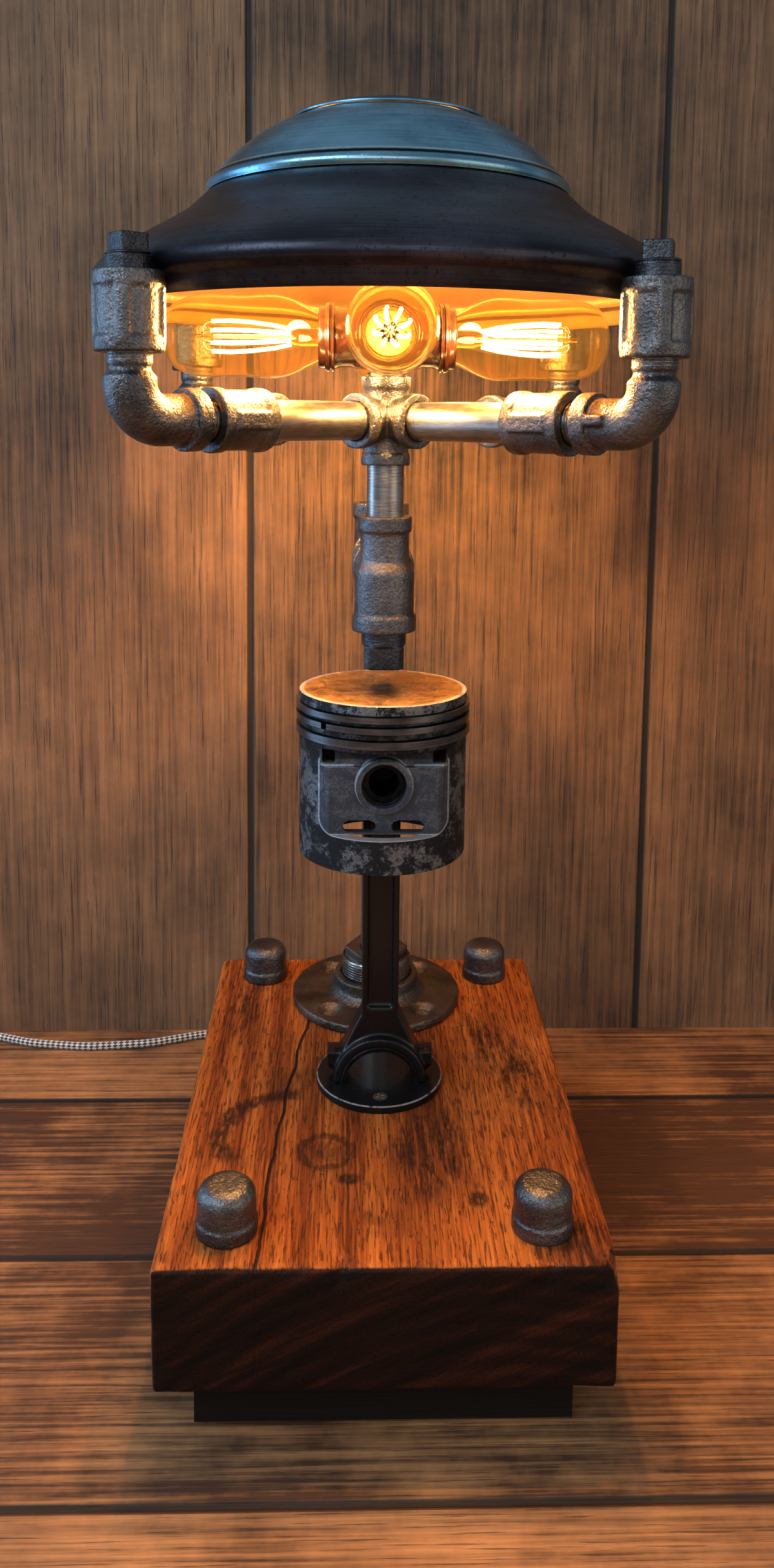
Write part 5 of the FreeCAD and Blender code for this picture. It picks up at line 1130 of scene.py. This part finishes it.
# %% Beads of the shade
BEADS = [("lip_bead", "shade_dome", 0.0990, 0.0011, 0.6152),
         ("step_bead", "shade_cap", 0.0528, 0.0008, 0.6554)]
BEAD_STEPS = 12
for name, node, middle, radius, height in BEADS:
    leans = [math.tau * step / BEAD_STEPS for step in range(BEAD_STEPS)]
    section = [(middle + radius * math.cos(lean), 0, height + radius * math.sin(lean))
               for lean in leans]
    piece_from(name, spun(section, True, 128, use_merge=True), dome_steel, BODY_OF[node])
print("beads", len(BEADS))

# %% [markdown]
# The block is worn: its long edges are bruised, and splinters have broken off along
# the front and at one corner. A voxel copy of the solid has points everywhere, so
# that noise can push them in where two faces meet.

# %% Worn block
BLOCK_LOW = Vector((-0.112, -0.165, 0.030))
BLOCK_HIGH = Vector((0.112, 0.165, BASE_TOP))
BRUISE_REACH, BRUISE_DEPTH = 0.0065, 0.0007
SPLINTER_REACH, SPLINTER_DEPTH = 0.012, 0.0060
CHIP_REACH, CHIP_SHARE = 0.014, 0.22
CHIPPED_CORNER = Vector((BLOCK_HIGH.x, BLOCK_LOW.y, BLOCK_HIGH.z))


def inward_push(place):
    """How far and which way a point of the block's skin has worn in."""
    gaps, ways = [], []
    for axis in range(3):
        from_low, from_high = place[axis] - BLOCK_LOW[axis], BLOCK_HIGH[axis] - place[axis]
        gaps.append(min(from_low, from_high))
        ways.append(1 if from_low < from_high else -1)
    near_edge = max(0, 1 - sorted(gaps)[1] / BRUISE_REACH)
    bruise = near_edge * (0.4 + noise.noise(place * 60)) * BRUISE_DEPTH
    off_edge = (place.y - BLOCK_LOW.y) + (BLOCK_HIGH.z - place.z)
    torn = max(0, noise.noise(Vector((place.x * 70, 3, 1))) - 0.20)
    splinter = max(0, 1 - off_edge / SPLINTER_REACH) * torn * SPLINTER_DEPTH
    corner = max(0, CHIP_REACH - (place - CHIPPED_CORNER).length) * CHIP_SHARE
    amount = max(0, bruise) + splinter + corner
    push = Vector([way if gap < BRUISE_REACH * 2 else 0 for gap, way in zip(gaps, ways)])
    return push * amount


block = cast("base_block", 0.0016, 1)
for vert in block.data.vertices:
    vert.co += inward_push(vert.co)
print("block points", len(block.data.vertices))

# %% [markdown]
# The cord leaves the plinth at the back, drops to the table and runs off to the
# left, where the rest lies coiled. Its centre line is one smooth curve, and the
# braid is a round section swept along it.

# %% Cord
CORD_RADIUS = 0.003
ROUTE = [(0, 0.158, 0.016), (-0.001, 0.182, 0.01444), (-0.019, 0.204, 0.00794),
         (-0.050, 0.220, 0.003), (-0.091, 0.228, 0.003), (-0.133, 0.223, 0.003),
         (-0.174, 0.209, 0.003), (-0.222, 0.204, 0.003), (-0.267, 0.210, 0.003),
         (-0.305, 0.224, 0.003), (-0.338, 0.244, 0.003)]
COIL_PITCH = 0.0068
COIL_TURNS = 3
COIL_OUTER = 0.0432
COIL_INNER = 0.0228
COIL_TUCK = 0.0016
END_LENGTH = 0.007
STEPS_PER_TURN = 14
route = [Vector(place) for place in ROUTE]
run_way = (route[-1] - route[-2]).normalized()
coil_start = route[-1] + run_way * END_LENGTH
coil_centre = coil_start + Vector((-run_way.y, run_way.x, 0)) * COIL_OUTER
first_angle = math.atan2(-run_way.x, run_way.y)
half_step = math.pi / STEPS_PER_TURN


def coil_point(turn):
    """A place on the coil: out to in below, then in to out on top."""
    if turn <= COIL_TURNS:
        radius, lift = COIL_OUTER - COIL_PITCH * turn, 0
    elif turn <= COIL_TURNS + 0.5:
        climb = math.tau * (turn - COIL_TURNS)
        radius = COIL_INNER - COIL_TUCK * (1 - math.cos(2 * climb)) / 2
        lift = COIL_PITCH * (1 - math.cos(climb)) / 2
    else:
        radius, lift = COIL_INNER + COIL_PITCH * (turn - COIL_TURNS - 0.5), COIL_PITCH
    radius /= math.cos(half_step)
    angle = first_angle + math.tau * turn
    return coil_centre + Vector((radius * math.cos(angle), radius * math.sin(angle), lift))


points = [route[0]]
for before, after in zip(route, route[1:]):
    points += [(before + after) / 2, after]
coil_steps = round((2 * COIL_TURNS + 0.5) * STEPS_PER_TURN)
coil = [coil_point((step + 0.5) / STEPS_PER_TURN) for step in range(coil_steps)]
last_angle = first_angle + math.pi
coil_end = coil_centre + Vector((COIL_OUTER * math.cos(last_angle),
                                 COIL_OUTER * math.sin(last_angle), COIL_PITCH))
coil_end -= run_way * END_LENGTH
tail = [coil_end + Vector(step) for step in
        ((0, 0, 0), (0.0120, -0.0072, 0), (0.0300, -0.0212, -0.0028), (0.0420, -0.0292, -0.0028))]
points += coil + tail


cord = swept("braided_cord", [points], CORD_RADIUS, braid.material, smooth=True)
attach(cord, BODY_OF["cord_run"])
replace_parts(cord, "cord_run", "cord_coil", "cord_tail")

# %% [markdown]
# A tapered rubber sleeve keeps the cord from bending sharply where it leaves the
# plinth. It follows the first bend of the cord itself, thick end first.

# %% Strain relief
SLEEVE_RADIUS = 0.0064
sleeve_points = [points[0], points[1], points[2], (points[2] + points[3]) / 2]
SLEEVE_TAPER = (1.0, 0.88, 0.74, 0.66)
sleeve_drawn = swept("sleeve_drawn", [sleeve_points], SLEEVE_RADIUS, black_trim.material, True)
for point, share in zip(sleeve_drawn.data.splines[0].points, SLEEVE_TAPER):
    point.radius = share
sleeve = meshed(sleeve_drawn, "strain_relief", BODY_OF["cord_gland"])

# %% [markdown]
# The plug is a rounded black moulding with finger ridges and two brass pins. It is
# drawn lying along X and then turned to where the cord ends.

# %% Plug
PLUG_SIZE = (0.036, 0.026, 0.014)
RIDGE_SIZE = (0.0016, PLUG_SIZE[1] - 0.001, PLUG_SIZE[2] + 0.0002)
PIN_ALONG, PIN_BESIDE = 0.0435, 0.0095
plug_way = (tail[-1] - tail[-2]).normalized()
plug_angle = math.atan2(plug_way.y, plug_way.x)
plug = bar(PLUG_SIZE, (PLUG_SIZE[0] / 2, 0, 0), ease=0.32)
for number in range(4):
    grow(plug, bar(RIDGE_SIZE, (0.008 + number * 0.004, 0, 0)))
plug_piece = piece_from("plug_moulding", moved(plug, tail[-1], plug_angle), black_trim.material,
                        BODY_OF["cord_plug"])
pins = bmesh.new()
for side in (-1, 1):
    bmesh.ops.create_cone(pins, cap_ends=True, segments=20, radius1=0.002, radius2=0.0018,
                          depth=0.023, matrix=Matrix.Translation((PIN_ALONG, side * PIN_BESIDE, 0))
                          @ Matrix.Rotation(math.pi / 2, 4, "Y"))
pins_piece = piece_from("plug_pins", moved(pins, tail[-1], plug_angle), brass,
                        BODY_OF["cord_plug"])
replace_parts(plug_piece, "cord_plug")

# %% [markdown]
# The lamp stands on floor boards that run from side to side, in front of a wall of
# old dark boards. Both are stage, not part of the lamp: one finish each, with the
# gaps between boards read from the place, and a tone of its own for every board. The
# back of a board is clear, so that the wall doesn't hide the lamp from behind.


# %% Old boards
def board_finish(name, across_axis, along_axis, gaps, dark, light, roughness):
    """Boards between the gaps; the axes are 0, 1 or 2, across a board and along it."""
    finish = Finish(name, Roughness=roughness)
    across = finish.split()[across_axis]
    stretch = [260.0] * 3
    stretch[along_axis] = 6.0
    grain = finish.streaks(stretch, 5, 0.66)
    cloud = finish.noise(5, 6, 0.70)
    scratches = finish.streaks([value * 3 for value in stretch], 3, 0.6).between(0.60, 0.70)
    tone = grain * 0.80 + cloud - 0.36
    for middle in gaps:
        tone = tone + across.between(middle, middle + 0.0005) * (0.13 if middle > 0 else -0.11)
    gap = finish.math_max(*((across - middle).near(0.0012, 0.0032) for middle in gaps))
    half_way = tuple((low + high) / 2 for low, high in zip(dark, light))
    colour = finish.ramp(tone, (0.22, dark), (0.55, half_way), (0.85, light))
    colour = finish.mixed(scratches * 0.5, colour, dark)
    finish.feed("Base Color", finish.mixed(gap * 0.95, colour, (0.006, 0.005, 0.004)))
    finish.bumped(grain * 0.7 - gap * 3 - scratches * 0.6, 0.0012)
    finish.feed("Alpha", 1 - finish.node("ShaderNodeNewGeometry", {}, (), "Backfacing"))
    return finish.material


def plane(name, corner, side, other_side, material):
    """A flat stage piece from a corner and its two sides."""
    corner, side, other_side = Vector(corner), Vector(side), Vector(other_side)
    mesh = bpy.data.meshes.new(name)
    mesh.from_pydata([corner, corner + side, corner + side + other_side, corner + other_side],
                     [], [(0, 1, 2, 3)])
    mesh.materials.append(material)
    added(name, mesh)


floor_boards = board_finish("floor_boards", 1, 0, (0.135, -0.030, -0.195, -0.360),
                            (0.060, 0.022, 0.008), (0.92, 0.43, 0.160), 0.65)
wall_boards = board_finish("wall_boards", 0, 2, (-0.097, 0.215, 0.52), (0.012, 0.008, 0.006),
                           (0.31, 0.165, 0.080), 0.8)
plane("floor", (-2.5, -2.5, 0), (5, 0, 0), (0, 5, 0), floor_boards)
plane("wall", (-0.315, 0.235, 0), (1.115, 0, 0), (0, 0, 0.90), wall_boards)
print("boards", floor_boards.name, wall_boards.name)

# %% [markdown]
# Cool light comes from the upper left, as from a window; a weak fill stands on the
# right. Four small warm lamps between the bulbs do what the filaments do in life:
# they light the fittings, the inside of the shade and the crown of the piston.


# %% Lights
WARM_REACH, WARM_POWER, WARM_COLOUR = 0.052, 3.6, (1.0, 0.50, 0.15)


def lamp_at(name, kind, place, power, colour):
    """A light that the camera doesn't see itself."""
    data = bpy.data.lights.new(name, kind)
    data.energy = power
    data.color = colour
    lamp = added(name, data)
    lamp.location = place
    lamp.visible_camera = False
    return lamp


def softbox(name, place, target, size, power, colour):
    """A lit rectangle that looks at a target."""
    lamp = lamp_at(name, "AREA", place, power, colour)
    lamp.data.shape = "RECTANGLE"
    lamp.data.size, lamp.data.size_y = size
    lamp.rotation_euler = (Vector(target) - Vector(place)).to_track_quat("-Z", "Y").to_euler()


softbox("key", (-1.1, -1.0, 1.35), (0, 0, 0.35), (0.9, 0.9), 19, (0.72, 0.87, 1.0))
softbox("fill", (1.5, -1.1, 0.7), (0, 0, 0.35), (1.2, 1.2), 7, (1.0, 0.80, 0.60))
softbox("rim", (-1.3, 0.05, 0.55), (0, 0, 0.40), (0.4, 1.1), 9, (0.40, 0.66, 1.0))
softbox("front", (-0.2, -1.8, 0.9), (0, 0, 0.2), (1.4, 0.8), 5, (1.0, 0.92, 0.84))
for number, (sx, sy) in enumerate(CORNERS):
    warm = lamp_at(f"warm_{number}", "POINT",
                   (sx * WARM_REACH, sy * WARM_REACH, BULB_Z + 0.006), WARM_POWER, WARM_COLOUR)
    warm.data.shadow_soft_size = 0.008

world = bpy.data.worlds.new("studio")
world.use_nodes = True
background = world.node_tree.nodes["Background"]
background.inputs["Color"].default_value = (0.66, 0.82, 1.0, 1)
background.inputs["Strength"].default_value = 0.28
bpy.context.scene.world = world
bpy.context.scene.view_settings.view_transform = "Standard"
